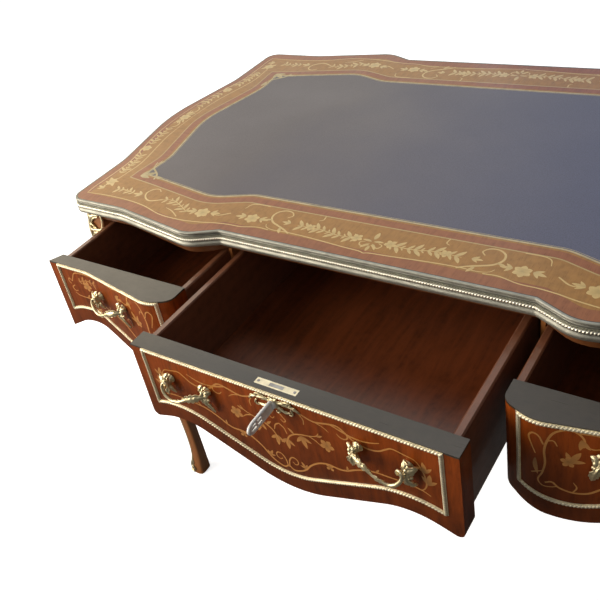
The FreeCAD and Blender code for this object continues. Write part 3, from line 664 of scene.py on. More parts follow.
def metal_material(name, colour, tarnish_and_shade, roughness, hollow_dirt_and_shade=0.8, metallic=1.0):
    """Cast or rolled metal with hollows darkened by tarnish and by painted shade, rubbed edges and a fine
    tooled surface.
    """
    tree, shader, where = new_material(name)
    cloud = noise(tree, where, 60.0, 5.0, 0.6)
    base = blend(tree, ramp(tree, cloud, 0.35, 0.75), opaque(colour), opaque(colour, 0.72))
    # The tarnish colour goes into the hollows, standing for real tarnish and for painted shade.
    used = handled(tree, where, base, colour, 1.25, 0.8, hollow_dirt_and_shade, opaque(tarnish_and_shade))
    tree.links.new(used["Colour"], shader.inputs["Base Color"])
    fine = noise(tree, where, 900.0, 3.0, 0.6)
    rough = maths(tree, "ADD", ramp(tree, cloud, 0.3, 0.8, roughness, roughness + 0.16), used["Smear"])
    tree.links.new(rough, shader.inputs["Roughness"])
    with_bump(tree, shader, fine, 0.08 * MM, 0.5)
    shader_values(shader, Metallic=metallic)


def leather_material(name, leather_with_sky_sheen, leather_without_sky_sheen):
    """Dyed hide: pebbled grain with painted shade in its creases, soft sheen, slightly polished where hands
    rest, and a painted bluish sky reflection towards +X.
    """
    tree, shader, where = new_material(name)
    pebbles = {"Vector": where, "Scale": 620.0, "Smoothness": 0.4}
    cells = add(tree, "TexVoronoi", {"feature": "SMOOTH_F1"}, pebbles).outputs["Distance"]
    creases = noise(tree, where, 240.0, 5.0, 0.65, 0.6)
    broad = noise(tree, where, 5.0, 3.0)
    along = add(tree, "SeparateXYZ", {}, {"Vector": where}).outputs["X"]
    shift = ramp(tree, broad, 0.35, 0.65, -0.06, 0.06)
    # Painted reflection: the leather turns from its own colour to a bluish sky tint along X.
    sky_sheen_share = ramp(tree, maths(tree, "ADD", along, shift), SKY_SHEEN_FROM * MM, SKY_SHEEN_TO * MM)
    colour = blend(tree, sky_sheen_share, opaque(leather_without_sky_sheen), opaque(leather_with_sky_sheen))
    # Painted shade and light: the creases between the pebbles darker, their tops lighter.
    crease_shade = blend(tree, ramp(tree, cells, 0.1, 0.75), opaque(WHITE, 1.12), opaque(WHITE, 0.72))
    shade = tinted(tree, colour, crease_shade)
    darker = tinted(tree, shade, opaque(WHITE, 0.85))
    shade = blend(tree, ramp(tree, broad, 0.35, 0.65, 0.0, 0.35), shade, darker)
    tree.links.new(shade, shader.inputs["Base Color"])
    rubbed = maths(tree, "ADD", broad, maths(tree, "MULTIPLY", creases, 0.4))
    tree.links.new(ramp(tree, rubbed, 0.45, 0.95, 0.40, 0.54), shader.inputs["Roughness"])
    height = maths(tree, "ADD", maths(tree, "MULTIPLY", cells, -0.8), maths(tree, "MULTIPLY", creases, 0.6))
    with_bump(tree, shader, height, 0.4 * MM, 0.35)
    shader_values(shader, Specular_IOR_Level=0.7, Sheen_Weight=0.25, Sheen_Roughness=0.45)


def banded_wood_material(name, colour, figure, contrast):
    """Veneer laid across the edge: grain runs front to back, and along X at the two ends."""
    tree, shader, where = new_material(name)
    place = add(tree, "SeparateXYZ", {}, {"Vector": where}).outputs
    beyond = maths(tree, "SUBTRACT", maths(tree, "ABSOLUTE", place["X"]), maths(tree, "ABSOLUTE", place["Y"]))
    at_end = maths(tree, "GREATER_THAN", beyond, (TOP_QUARTER[3][0] - TOP_QUARTER[3][1]) * MM)
    long_side, end = [
        grained(tree, where, turn, colour, contrast, Bands=22.0, Figure=figure) for turn in (GRAIN_Y, GRAIN_X)
    ]
    wood = blend(tree, at_end, long_side["Colour"], end["Colour"])
    used = handled(tree, where, wood, colour, 1.5, 0.4, 0.2)
    tree.links.new(used["Colour"], shader.inputs["Base Color"])
    tree.links.new(maths(tree, "ADD", long_side["Roughness"], used["Smear"]), shader.inputs["Roughness"])
    with_bump(tree, shader, long_side["Height"], 0.1 * MM, 0.3)
    shader_values(shader, Coat_Weight=0.25, Coat_Roughness=0.16, Specular_IOR_Level=0.25)


def inlay_material(name, colour, shading=0.55):
    """Pale woods, each leaf its own shade and darker where hot sand has shaded it."""
    tree, shader, where = new_material(name)
    tone = add(tree, "Attribute", {"attribute_name": "tone"}, {}).outputs["Fac"]
    fibre = noise(tree, stretched(tree, where, 60, 200, 200), 1.0, 4.0, 0.7)
    wood = blend(tree, tone, opaque(colour, shading), opaque(colour, 1.12))
    wood = blend(tree, ramp(tree, fibre, 0.4, 0.7, 0.0, 0.5), wood, tinted(tree, wood, FIBRE_TINT))
    tree.links.new(wood, shader.inputs["Base Color"])
    tree.links.new(ramp(tree, fibre, 0.3, 0.8, 0.30, 0.44), shader.inputs["Roughness"])
    with_bump(tree, shader, fibre, 0.08 * MM, 0.3)
    shader_values(shader, Coat_Weight=0.4, Coat_Roughness=0.15, Specular_IOR_Level=0.35)


def build_materials():
    """Makes the node groups and all finishes, after renaming the solids' own materials."""
    for plain in list(bpy.data.materials):
        plain.name = "solid_" + plain.name
    timber_group()
    handled_group()
    c = colours()
    wood_material("carcass_wood", c.leg, GRAIN_Z, contrast=1.4, bands=9.0, polish=0.4, gloss=0.4)
    wood_material("rail_wood", c.rail, GRAIN_X, contrast=1.3, bands=12.0, polish=0.4)
    banded_wood_material("kingwood_veneer", c.crossband, 0.9, 1.3)
    banded_wood_material("marquetry_ground", c.ground, 0.8, 1.2)
    # The fronts carry painted shade, darker towards their lower edge.
    wood_material(
        "front_veneer", c.front, GRAIN_Z, figure=1.25, bands=13.0, contrast=1.8, polish=0.08, gloss=0.15,
        clouds=0.34, painted_low_shade=(590, 705, 0.45),
    )
    wood_material(
        "ebonised_wood", c.ebonised, GRAIN_X, figure=0.5, contrast=1.25, polish=0.5, rough_shift=-0.04
    )
    wood_material(
        "drawer_lining", c.lining, GRAIN_Y, figure=0.9, bands=10.0, contrast=1.45, polish=0.6,
        coat_rough=0.1,
    )
    wood_material("drawer_lining_across", c.lining, GRAIN_X, figure=1.0, bands=8.0, contrast=1.5)
    wood_material(
        "drawer_floor", c.floor, GRAIN_Y, figure=1.3, bands=9.0, contrast=1.8, polish=1.0,
        coat_rough=0.24, coat_ior=1.9, clouds=0.3,
    )
    wood_material(
        "secondary_wood", c.secondary, GRAIN_X, figure=0.9, bands=8.0, contrast=1.3, polish=0.0,
        rough_shift=0.25,
    )
    inlay_material("marquetry", c.inlay)
    inlay_material("top_marquetry", c.pale_inlay, 0.8)
    metal_material("gilt_brass", c.gilt, (0.07, 0.055, 0.022), 0.25, hollow_dirt_and_shade=1.0, metallic=0.9)
    metal_material("edge_brass", c.moulding, (0.04, 0.037, 0.030), 0.40, metallic=0.85)
    metal_material("rope_brass", c.pale_brass, (0.16, 0.12, 0.06), 0.34, hollow_dirt_and_shade=0.9, metallic=0.55)
    metal_material("edge_rope_brass", c.edge_rope, (0.04, 0.036, 0.028), 0.28, hollow_dirt_and_shade=1.0, metallic=0.9)
    metal_material("tooled_gold", c.tooled, (0.20, 0.15, 0.09), 0.50, metallic=0.4)
    metal_material("lock_steel", c.steel, (0.10, 0.09, 0.08), 0.35)
    metal_material("key_nickel", c.nickel, (0.05, 0.05, 0.06), 0.38, metallic=0.25)
    leather_material("writing_leather", c.leather, c.leather_without_sky_sheen)


def material(name):
    return bpy.data.materials[name]


def dress(node, name):
    """Gives a solid of the frame its finish."""
    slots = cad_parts[node].data.materials
    slots.clear()
    slots.append(material(name))


# Inlay drawing; the leaves of a garland slant this many degrees away from its stem
GARLAND_SLANT = 42


def leaf_width(share):
    return max(0.02, math.sin(math.pi * min(1.0, share * 0.94 + 0.05)) ** 0.8)


def petal_width(share):
    return max(0.04, math.sin(math.pi * (0.12 + 0.83 * share ** 1.4)))


def stem_width(share):
    return 0.42 + 0.58 * math.sin(math.pi * min(1.0, 0.25 + share * 0.7))


class Inlay:
    """Draws stems, leaves and flowers of pale wood on a surface of the desk."""

    def __init__(self, place, flips=((1, 1),), turned=False):
        self.bm = bmesh.new()
        self.turned = turned
        self.tone = self.bm.verts.layers.float.new("tone")
        self.place = place
        self.flips = flips
        self.count = 0

    def ribbon(self, line, half_at, dark, light):
        """A strip along a flat line, half_at wide to each side, shaded from dark to light."""
        normals = sideways(line)
        last = len(line) - 1
        stand = sizes().inlay_stand / MM
        rows = []
        for side in (-1, 0, 1):
            beside = [line[i] + normals[i] * (side * half_at(i / last)) for i in range(last + 1)]
            rows.append(unfolded(line, beside))
        for flip_x, flip_y in self.flips:
            level = stand * (0.1 + 0.9 * (self.count * 5 % INLAY_LEVELS) / INLAY_LEVELS)
            self.count += 1

            def corner(i, j):
                p = rows[j][i]
                return self.place(p.x * flip_x, p.y * flip_y, level)

            verts = grid(self.bm, last, 2, corner)
            for index, vert in enumerate(verts):
                share = (index % (last + 1)) / last
                vert[self.tone] = dark + (light - dark) * share
            if (flip_x * flip_y < 0) != self.turned:
                bmesh.ops.reverse_faces(self.bm, faces=list({f for v in verts for f in v.link_faces}))

    def stem(self, points, width, light=0.85):
        half = sizes().line_width / MM * width / 2
        line = even(flowing(points), CURVE_STEP)
        self.ribbon(line, lambda share: half * stem_width(share), light, light)

    def leaf(self, x, y, angle, length, width=0.34, bend=0.25):
        """A pointed leaf from its foot, at an angle in degrees, bent to one side."""
        ahead = Vector((math.cos(math.radians(angle)), math.sin(math.radians(angle))))
        aside = Vector((-ahead.y, ahead.x))
        foot = Vector((x, y))
        line = [foot + ahead * (length * t / 8) + aside * (length * bend * (t / 8) ** 2) for t in range(9)]
        self.ribbon(line, lambda share: length * width / 2 * leaf_width(share), 0.25, 0.95)

    def spray(self, x, y, angle, length, leaves=3, spread=38):
        """A few leaves that fan out from one foot, the middle one longest."""
        for k in range(leaves):
            turn = (k - (leaves - 1) / 2) * spread
            size = length * (1 - 0.25 * abs(turn) / spread / max(1, (leaves - 1) / 2))
            way = 1 if turn > 0 else -1 if turn < 0 else 0
            self.leaf(x, y, angle + turn, size, bend=0.12 * way)

    def flower(self, x, y, radius, petals, start=90):
        """A flower with a dark heart."""
        for k in range(petals):
            angle = math.radians(start + 360 * k / petals)
            ahead = Vector((math.cos(angle), math.sin(angle)))
            line = [Vector((x, y)) + ahead * (radius * (0.12 + 0.88 * t / 6)) for t in range(7)]
            self.ribbon(line, lambda share: radius * 0.36 * petal_width(share), 0.30, 1.0)
        heart = [Vector((x + radius * 0.2 * side, y)) for side in (-1, 0, 1)]
        self.ribbon(heart, lambda share: radius * 0.2 * (0.4 + math.sin(math.pi * share)), 0.15, 0.2)

    def garland(self, points, leaf, spacing, width=0.36):
        """A stem with leaves set along it in pairs."""
        self.stem(points, 0.7)
        line = even(flowing(points), spacing)
        for k, (a, b) in enumerate(zip(line, line[1:])):
            heading = math.degrees(math.atan2((b - a).y, (b - a).x))
            size = leaf * (0.8 + 0.35 * math.sin(k * 2.1))
            for side in (1, -1):
                self.leaf(a.x, a.y, heading + side * GARLAND_SLANT, size, width, 0.18 * side)

    def finish(self, name, body, slot="marquetry", finish="marquetry"):
        inlaid(name, self.bm, body, finish)


def centre_vine(art):
    """Scrolls of the centre drawer, drawn on its right half: x, z from the desk's middle."""
    art.stem([
        (36, 711), (58, 704), (80, 709), (95, 711), (106, 703), (117, 694), (135, 690), (150, 693),
        (161, 701), (170, 706), (186, 703), (198, 700), (204, 693),
    ], 1.2)
    art.stem([(84, 710), (108, 702), (126, 700), (141, 703), (153, 708)], 1.1)
    art.stem([(106, 703), (108, 697), (104, 692), (97, 692), (92, 697)], 0.9)
    art.stem([(38, 708), (43, 700), (42, 691)], 0.8)
    art.stem([(60, 704), (72, 700), (80, 694)], 0.7)
    art.stem([
        (0, 594), (8, 587), (20, 591), (30, 599), (40, 612), (55, 624), (70, 629), (86, 628), (98, 631),
        (111, 639), (126, 646), (141, 650), (160, 651), (186, 652), (204, 650), (215, 645),
    ], 1.2)
    art.stem([(1, 590), (3, 604), (9, 613), (16, 612), (18, 605), (13, 600), (8, 604)], 0.9)
    art.flower(71, 624, 7, 4, 45)
    art.spray(30, 600, 118, 13)
    art.leaf(98, 631, 70, 9)
    art.leaf(141, 650, 40, 9)
    art.spray(213, 664, 80, 20, 3, 34)
    art.spray(211, 684, 100, 18, 3, 40)
    art.stem([(204, 693), (209, 680), (211, 664), (206, 652), (199, 650)], 1.0)
    art.stem([(6, 640), (12, 655), (22, 664), (34, 669), (46, 672), (58, 677), (63, 684)], 1.0)
    art.stem([(46, 672), (56, 668), (63, 662)], 0.8)
    art.stem([(0, 676), (7, 670), (10, 660)], 0.9)
    art.flower(73, 666, 11, 5, 60)
    art.spray(34, 666, 285, 22, 3, 42)
    art.spray(8, 650, 272, 20, 3, 40)
    art.stem([(3, 700), (8, 693), (13, 686), (9, 682), (5, 686)], 0.8)
    art.leaf(22, 664, 120, 12)
    art.leaf(58, 677, 10, 11)


def side_vine(art):
    """Scrolls of the right drawer from its inner to its outer end."""
    art.stem([
        (359, 700), (360, 712), (353, 722), (341, 724), (328, 716), (321, 701), (318, 684), (319, 664),
        (316, 646), (311, 632), (316, 623), (326, 623), (333, 626),
    ], 1.2)
    art.stem([
        (352, 722), (372, 723), (400, 721), (430, 724), (460, 722), (490, 721), (506, 718), (514, 708),
        (519, 698),
    ], 1.2)
    art.stem([(321, 701), (328, 703), (332, 695)], 0.8)
    art.stem([
        (319, 629), (327, 632), (335, 624), (350, 620), (366, 624), (380, 636), (394, 648), (410, 655),
        (428, 660), (446, 664), (462, 668), (490, 667), (514, 668), (521, 673),
    ], 1.2)
    art.stem([(350, 621), (354, 630), (350, 638)], 0.8)
    art.stem([(317, 694), (312, 706), (305, 709), (300, 702), (303, 690), (308, 676)], 1.0)
    art.leaf(308, 668, 262, 26, 0.22)
    art.stem([(303, 641), (311, 646), (318, 650)], 0.8)
    art.spray(357, 712, 285, 19, 2, 26)
    art.spray(346, 672, 60, 22, 3, 40)
    art.flower(344, 672, 9, 5)
    art.stem([(369, 652), (368, 662), (375, 667), (380, 661)], 0.9)
    art.flower(482, 695, 11, 5, 40)
    art.garland([(500, 702), (476, 708), (452, 706)], 11, 9)
    art.stem([(516, 690), (524, 684), (520, 677), (512, 679)], 0.9)
    art.stem([(519, 698), (526, 703), (529, 696), (524, 691)], 0.9)
    art.spray(396, 706, 200, 17, 3, 36)
    art.stem([(384, 706), (370, 700), (362, 704)], 0.8)
    art.spray(470, 652, 250, 13, 3, 36)
    art.leaf(428, 660, 75, 10)
    art.leaf(490, 667, 110, 10)


def top_vine(art):
    """Scrolls of one quarter of the top's band: x and distance from the middle line."""
    art.stem([(212, 262), (236, 262), (248, 267), (252, 280)], 0.9)
    art.stem([(104, 261), (103, 272), (109, 276)], 0.8)
    art.stem([(0, 333), (10, 330), (40, 328), (96, 323), (140, 321), (168, 322), (183, 318), (188, 311)], 0.9)
    art.stem([
        (176, 324), (198, 323), (226, 330), (252, 331), (276, 334), (310, 341), (350, 345), (396, 342),
        (448, 327), (500, 320), (556, 319), (598, 322),
    ], 0.9)
    art.stem([
        (138, 323), (152, 315), (168, 308), (182, 301), (191, 288), (189, 274), (178, 266), (165, 267),
        (158, 276), (164, 284),
    ], 1.4)
    art.leaf(160, 312, 100, 16)
    art.leaf(186, 296, 10, 15)
    art.garland([(26, 301), (60, 303), (96, 297), (136, 298)], 17, 10, 0.34)
    art.flower(28, 300, 10, 5)
    art.flower(112, 297, 9, 5)
    art.spray(150, 296, 0, 16, 3, 30)
    art.flower(222, 303, 13, 6)
    art.spray(236, 300, 15, 19, 3, 32)
    art.spray(208, 300, 175, 17, 3, 36)
    art.leaf(0, 313, 90, 14, 0.4, 0.0)
    art.leaf(2, 308, 40, 16, 0.32)
    art.leaf(2, 302, -20, 15, 0.32)
    art.leaf(0, 296, -90, 18, 0.4, 0.0)
    art.stem([(2, 312), (14, 316), (18, 308), (11, 304)], 0.9)
    art.flower(320, 314, 14, 6)
    art.spray(334, 312, 20, 20, 3, 34)
    art.spray(304, 310, 190, 18, 3, 34)
    art.stem([(268, 300), (286, 312), (304, 311)], 1.0)
    art.garland([(352, 320), (376, 306), (402, 296), (424, 300)], 17, 11, 0.32)
    art.stem([(424, 300), (446, 310), (462, 304), (472, 290), (468, 276), (456, 271), (446, 278)], 1.3)
    art.stem([(360, 338), (380, 326), (398, 320)], 0.9)
    art.spray(478, 296, 5, 20, 3, 34)
    art.garland([(500, 296), (526, 292), (548, 296)], 14, 10, 0.34)
    art.spray(572, 280, -44, 26, 3, 30)
    art.spray(582, 270, 136, 26, 3, 34)
    art.spray(576, 300, -20, 18, 3, 34)
    art.flower(577, 275, 11, 6)


def end_vine(art):
    """Scrolls of half an end of the top: x, y from the middle of the end."""
    art.stem([
        (572, 262), (570, 235), (568, 205), (573, 172), (583, 130), (592, 88), (596, 40), (597, 0)
    ], 0.9)
    art.stem([
        (598, 322), (600, 300), (598, 262), (598, 205), (606, 165), (618, 120), (627, 75), (631, 30),
        (632, 0),
    ], 0.9)
    art.garland([(584, 242), (585, 216), (588, 192), (595, 168)], 15, 10, 0.34)
    art.flower(602, 142, 11, 6)
    art.stem([(595, 168), (606, 160), (612, 148), (606, 132), (597, 136)], 1.2)
    art.garland([(606, 124), (611, 100), (614, 76), (615, 50)], 15, 10, 0.34)
    art.stem([(615, 50), (606, 40), (608, 26), (618, 22), (622, 32)], 1.2)
    art.flower(614, 0, 13, 6)
    art.leaf(614, 12, 90, 17, 0.4, 0.0)
    art.leaf(610, 10, 110, 15, 0.3)
    art.leaf(618, 10, 70, 15, 0.3)


def apron_vine(art):
    """Scrolls of half an end apron: distance from its middle and height."""
    art.stem([
        (0, 700), (30, 712), (70, 716), (110, 706), (150, 700), (190, 708), (225, 704), (240, 694)
    ], 1.2)
    art.stem([(0, 604), (20, 608), (50, 622), (90, 640), (130, 652), (180, 656), (220, 652), (240, 660)], 1.2)
    art.stem([(30, 712), (40, 702), (34, 694), (26, 698)], 0.9)
    art.garland([(24, 660), (60, 672), (96, 668), (130, 674)], 17, 13, 0.34)
    art.flower(0, 664, 16, 6)
    art.flower(150, 678, 12, 5)
    art.spray(166, 678, 0, 20, 3, 34)
    art.spray(232, 676, 90, 22, 3, 36)
    art.stem([(0, 636), (12, 640), (20, 632), (14, 624), (6, 628)], 0.9)


# Borders of fronts and aprons
def border_line(lower, left, right, top, inside):
    """The closed centre line of a border, anticlockwise, inside the edge of its panel."""
    left, right, top = left + inside, right - inside, top - inside
    edge = even(rounded(lower, False), CURVE_STEP)
    low = even(parallel(edge, BORDER_BOTTOM + inside, False), CURVE_STEP)
    low = [p for p in low if left <= p.x <= right]
    ends = [Vector((x, height_on(low, x))) for x in (left, right)]
    return ends[:1] + low + ends[1:] + [Vector((right, top)), Vector((left, top))]


def rope_border(name, lower, left, right, top, place, body, replaced=None):
    """A flat gilt strip with a twisted rope on it around a panel."""
    bm = bmesh.new()
    line = border_line(lower, left, right, top, BORDER_WIDTH / 2)
    half = BORDER_WIDTH / 2 - STRIP_MARGIN
    section = [(-half, 0.0), (half, 0.0), (half, STRIP_STAND), (-half, STRIP_STAND)]
    section_sweep(bm, even(line, CURVE_STEP, True), section, place)
    rope(bm, line, ROPE_OUT, DRAWER_ROPE_RADIUS, DRAWER_ROPE_RELIEF, place)
    piece = finished(name, bm, body, "rope_brass", 50)
    if replaced:
        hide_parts(replaced)


def left_of(place):
    """The same place on the other half of the desk."""

    def mirrored(x, z, level):
        p = place(x, z, level)
        return Vector((-p.x, p.y, p.z))
    return mirrored


BORDER_TOP = CENTRE_CAP_TOP - BORDER_TOP_DROP
CENTRE_BORDER = (CENTRE_LOWER, CENTRE_LOW.x + BORDER_SIDE, CENTRE_HIGH.x - BORDER_SIDE, BORDER_TOP)
SIDE_BORDER = (SIDE_LOWER, SIDE_LOW.x + BORDER_SIDE, SIDE_HIGH.x - BORDER_SIDE, BORDER_TOP)
APRON_BORDER = (APRON_LOWER, APRON_LOW.y + BORDER_SIDE, APRON_HIGH.y - BORDER_SIDE, TOP_UNDER - BORDER_SIDE)


# Castings
CASTING_STEP = 1.2
KNEE_GRAIN = 0.9
SABOT_GRAIN = 0.8
KEY_GRAIN = 0.45


def cast(name, bm, body, replaced, finish="gilt_brass", grain=None):
    """Melts overlapping forms into one softened casting; grain is its smallest detail in mm."""
    bmesh.ops.recalc_face_normals(bm, faces=bm.faces[:])
    blank = linked(name + "_rough", mesh_from(name + "_rough", bm))
    melt = blank.modifiers.new("Melt", "REMESH")
    melt.mode = "VOXEL"
    melt.voxel_size = grain * MM if grain else sizes().casting_grain
    soften = blank.modifiers.new("Soften", "SMOOTH")
    soften.factor = 0.5
    soften.iterations = 1
    made = evaluated(blank)
    bpy.data.objects.remove(blank)
    made.name = name
    made.shade_smooth()
    piece = linked(name, made)
    made.materials.clear()
    made.materials.append(material(finish))
    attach(piece, body)
    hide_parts(replaced)


def bar(bm, points, radii, place, around_count=10):
    """A bar through design points (a, b, c) whose thickness runs through the radii."""
    line = [place(*p) / MM for p in flowing(points, CASTING_STEP)]
    last = len(radii) - 1

    def radius_at(share):
        at = min(last - 1, int(share * last)) if last else 0
        t = share * last - at
        return radii[at] + (radii[min(at + 1, last)] - radii[at]) * t

    tube(bm, line, radius_at, around_count)


def acanthus(bm, points, half_width, place, thickness, lobes):
    """A cast leaf along design points: a ribbed blade with lobed edges."""
    line = flowing(points, CASTING_STEP)
    flat = [Vector((p.x, p.y)) for p in line]
    sides = sideways(flat)
    last = len(line) - 1
    across = 8

    def blade(under):
        def corner(i, j):
            share = i / last
            u = j / across * 2 - 1
            lobe = 0.62 + 0.38 * abs(math.sin(math.pi * lobes * share))
            half = half_width * leaf_width(share) * lobe
            rib = 1.25 * math.cos(u * math.pi * 1.5) * (1 - share * 0.5)
            p = flat[i] + sides[i] * (u * half)
            return place(p.x, p.y, line[i].z + (rib - thickness if under else rib))
        return corner

    top = grid(bm, last, across, blade(False))
    low = grid(bm, last, across, blade(True))
    edges = list({e for v in top + low for e in v.link_edges if e.is_boundary})
    bmesh.ops.bridge_loops(bm, edges=edges)


def sided(side, points):
    """Design points as they are for side 1, and mirrored along their first size for side -1."""
    return [(a * side, h, d) for a, h, d in points]


def bead(bm, where, radius, place):
    """A slightly flattened round bead."""
    made = bmesh.ops.create_uvsphere(bm, u_segments=14, v_segments=9, radius=radius * MM)["verts"]
    bmesh.ops.scale(bm, vec=(1, 0.9, 1), verts=made)
    bmesh.ops.translate(bm, vec=place(*where), verts=made)


def pull_place(x0, z0, face, turn=0.0, mirror=1):
    """Places (along, up, out) of a pull on a drawer face."""
    cosine, sine = math.cos(turn), math.sin(turn)

    def place(a, h, d):
        x = a * cosine + d * sine
        y = a * sine - d * cosine
        return Vector(((x0 + x) * mirror, face + y, z0 + h)) * MM
    return place


# Legs: the same stations as the solids, one row each from the floor up:
# height over leg height, inward swing, slimming of the outer and of the inner side
LEG_STATIONS = (
    (0.000, 0.80, 0.28, 0.28), (0.110, 1.06, 0.50, 0.50), (0.300, 0.84, 0.49, 0.49),
    (0.580, 0.00, 0.33, 0.34), (0.755, 0.00, -0.06, 0.00), (0.870, 0.00, -0.23, 0.00),
    (1.000, 0.00, 0.00, 0.00),
)
POST_X, POST_Y = 580.0, -308.5
POST_HALF_X, POST_HALF_Y = 24.5, 25.5
FOOT_INSET_X, FOOT_INSET_Y = 22.0, 8.0
LEG_RINGS = 110
LEG_SIDES = 36
OUTER_EDGE = -math.pi / 4
REBATE = ((470, -360), (568, -360), (568, -328), (555, -302.5), (470, -302.5))
REBATE_LOW, REBATE_HIGH = 577.7, 734.0
CORNERS = (("front_right", 1, 1), ("front_left", -1, 1), ("back_right", 1, -1), ("back_left", -1, -1))

# The stations' shares count a hundredfold while a smooth line is drawn through them
LEG_STRETCH = 100
leg_points = [
    Vector((height * TOP_UNDER, swing * LEG_STRETCH, outer * LEG_STRETCH, inner * LEG_STRETCH))
    for height, swing, outer, inner in LEG_STATIONS
]
leg_lines = flowing(leg_points, 4.0)


def leg_station(z):
    """Middle and half sizes of the front right leg at a height."""
    z = min(max(z, leg_lines[0][0]), leg_lines[-1][0])
    for a, b in zip(leg_lines, leg_lines[1:]):
        if z <= b[0]:
            break
    mixed = a.lerp(b, (z - a[0]) / (b[0] - a[0])) / LEG_STRETCH
    swing, outer, inner = mixed[1], 1 - mixed[2], 1 - mixed[3]
    lean, stout = (outer - inner) / 2, (outer + inner) / 2
    middle_x = POST_X - swing * FOOT_INSET_X + lean * POST_HALF_X
    middle_y = POST_Y + swing * FOOT_INSET_Y - lean * POST_HALF_Y
    return Vector((middle_x, middle_y)), stout * POST_HALF_X, stout * POST_HALF_Y


def leg_skin(z, angle, lift):
    """A point on the leg's surface, or lifted off it, in millimetres."""
    middle, half_x, half_y = leg_station(z)
    facing = math.cos(angle - OUTER_EDGE)
    softness = min(1.0, max(0.0, 1.1 - z / (TOP_UNDER * 0.72)))
    power = 0.26 + 0.22 * max(0.0, facing) + 0.26 * softness
    cosine, sine = math.cos(angle), math.sin(angle)
    x = math.copysign(abs(cosine) ** power, cosine) * half_x
    y = math.copysign(abs(sine) ** power, sine) * half_y
    return Vector((middle.x + x + cosine * lift, middle.y + y + sine * lift, z))


def leg_place(corner_x, corner_y):
    """Places (across, height, lift) on the outer edge of one of the legs."""
    def place(across, z, lift):
        p = leg_skin(z, OUTER_EDGE + across / POST_HALF_X, lift)
        return Vector((p.x * corner_x, p.y * corner_y, p.z)) * MM
    return place


def build_leg(name, corner_x, corner_y):
    """A leg's smooth skin, with the rebate for the rails cut out of its post."""
    bm = bmesh.new()

    def corner(i, j):
        z = TOP_UNDER * i / LEG_RINGS
        p = leg_skin(z, OUTER_EDGE + 2 * math.pi * (j + 0.5) / LEG_SIDES, 0)
        return Vector((p.x * corner_x, p.y * corner_y, p.z)) * MM

    grid(bm, LEG_RINGS, LEG_SIDES, corner, False, True)
    bmesh.ops.holes_fill(bm, edges=[e for e in bm.edges if e.is_boundary], sides=0)
    bmesh.ops.recalc_face_normals(bm, faces=bm.faces[:])
    cutter = bmesh.new()
    base = [cutter.verts.new(Vector((x * corner_x, y * corner_y, REBATE_LOW)) * MM) for x, y in REBATE]
    made = bmesh.ops.extrude_face_region(cutter, geom=[cutter.faces.new(base)])["geom"]
    raised = [v for v in made if isinstance(v, bmesh.types.BMVert)]
    bmesh.ops.translate(cutter, vec=Vector((0, 0, REBATE_HIGH - REBATE_LOW)) * MM, verts=raised)
    bmesh.ops.recalc_face_normals(cutter, faces=cutter.faces[:])
    tool = linked("rebate", mesh_from("rebate", cutter))
    blank = linked("blank", mesh_from("blank", bm))
    cut = blank.modifiers.new("Rebate", "BOOLEAN")
    cut.object = tool
    cut.solver = "EXACT"
    sawn = evaluated(blank)
    for spare in (blank, tool):
        bpy.data.objects.remove(spare)
    bm = bmesh.new()
    bm.from_mesh(sawn)
    piece = finished(name, bm, "desk", "carcass_wood", 35)
    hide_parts(name)


def build_knee_mount(name, corner_x, corner_y):
    """A long lobed leaf under a shell and two scrolls."""
    bm = bmesh.new()
    place = leg_place(corner_x, corner_y)
    leaf = [(0, 746, 1.0), (0, 722, 3.0), (0, 694, 4.0), (0, 662, 2.6), (0, 636, 1.4)]
    acanthus(bm, leaf, 21, place, 2.6, 5)
    acanthus(bm, [(0, 734, 4.0), (0, 712, 7.0), (0, 690, 6.0), (0, 672, 3.6)], 9, place, 3.0, 3)
    for k in range(5):
        side = k - 2
        foot, tip = (side * 2.0, 716, 4.0), (side * 10.5, 748 - abs(side) * 2.5, 3.4)
        acanthus(bm, [foot, ((foot[0] + tip[0]) / 2 + side, 734, 5.4), tip], 5.0, place, 3.0, 1)
    for side in (-1, 1):
        scroll = [
            (24, 745, 2.2), (27, 731, 3.2), (24, 716, 4.2), (16, 708, 4.6), (10, 713, 4.6),
            (13, 720, 4.4), (18, 717, 4.2),
        ]
        bar(bm, sided(side, scroll), (2.0, 2.8, 3.0, 2.6, 2.2, 1.8), place)
        trail = [(14, 708, 3.0), (20, 696, 3.6), (19, 680, 3.0), (11, 666, 2.2), (4, 652, 1.6)]
        acanthus(bm, sided(side, trail), 6.0, place, 2.6, 3)
    bar(bm, [(a, 748.5, 2.6) for a in (-27, -14, 0, 14, 27)], (2.2,), place)
    cast(name, bm, "desk", "knee_mounts", grain=KNEE_GRAIN)


def build_sabot(name, corner_x, corner_y):
    """A foot mount: a leaf up the outer edge between two scrolls, over a band at the floor."""
    bm = bmesh.new()
    place = leg_place(corner_x, corner_y)
    acanthus(bm, [(0, 8, 2.6), (0, 24, 3.4), (0, 42, 2.4), (0, 58, 1.2)], 15, place, 2.6, 3)
    acanthus(bm, [(0, 14, 4.0), (0, 26, 5.0), (0, 38, 3.0)], 7, place, 2.6, 2)
    band = [(-17, 4.6, 1.0), (-9, 4.6, 2.2), (0, 4.6, 3.0), (9, 4.6, 2.2), (17, 4.6, 1.0)]
    bar(bm, band, (2.0, 2.4, 2.6, 2.4, 2.0), place)
    for side in (-1, 1):
        scroll = [(15, 7, 1.6), (17, 15, 2.0), (12, 21, 2.4), (7, 17, 2.8), (10, 12, 2.8)]
        bar(bm, sided(side, scroll), (2.0, 2.2, 1.8, 1.6), place)
    cast(name, bm, "desk", "sabots", grain=SABOT_GRAIN)


STRIP_LOW, STRIP_HIGH = 57.0, 638.0
STRIP_STEPS = 580
STRIP_BEADS = 170


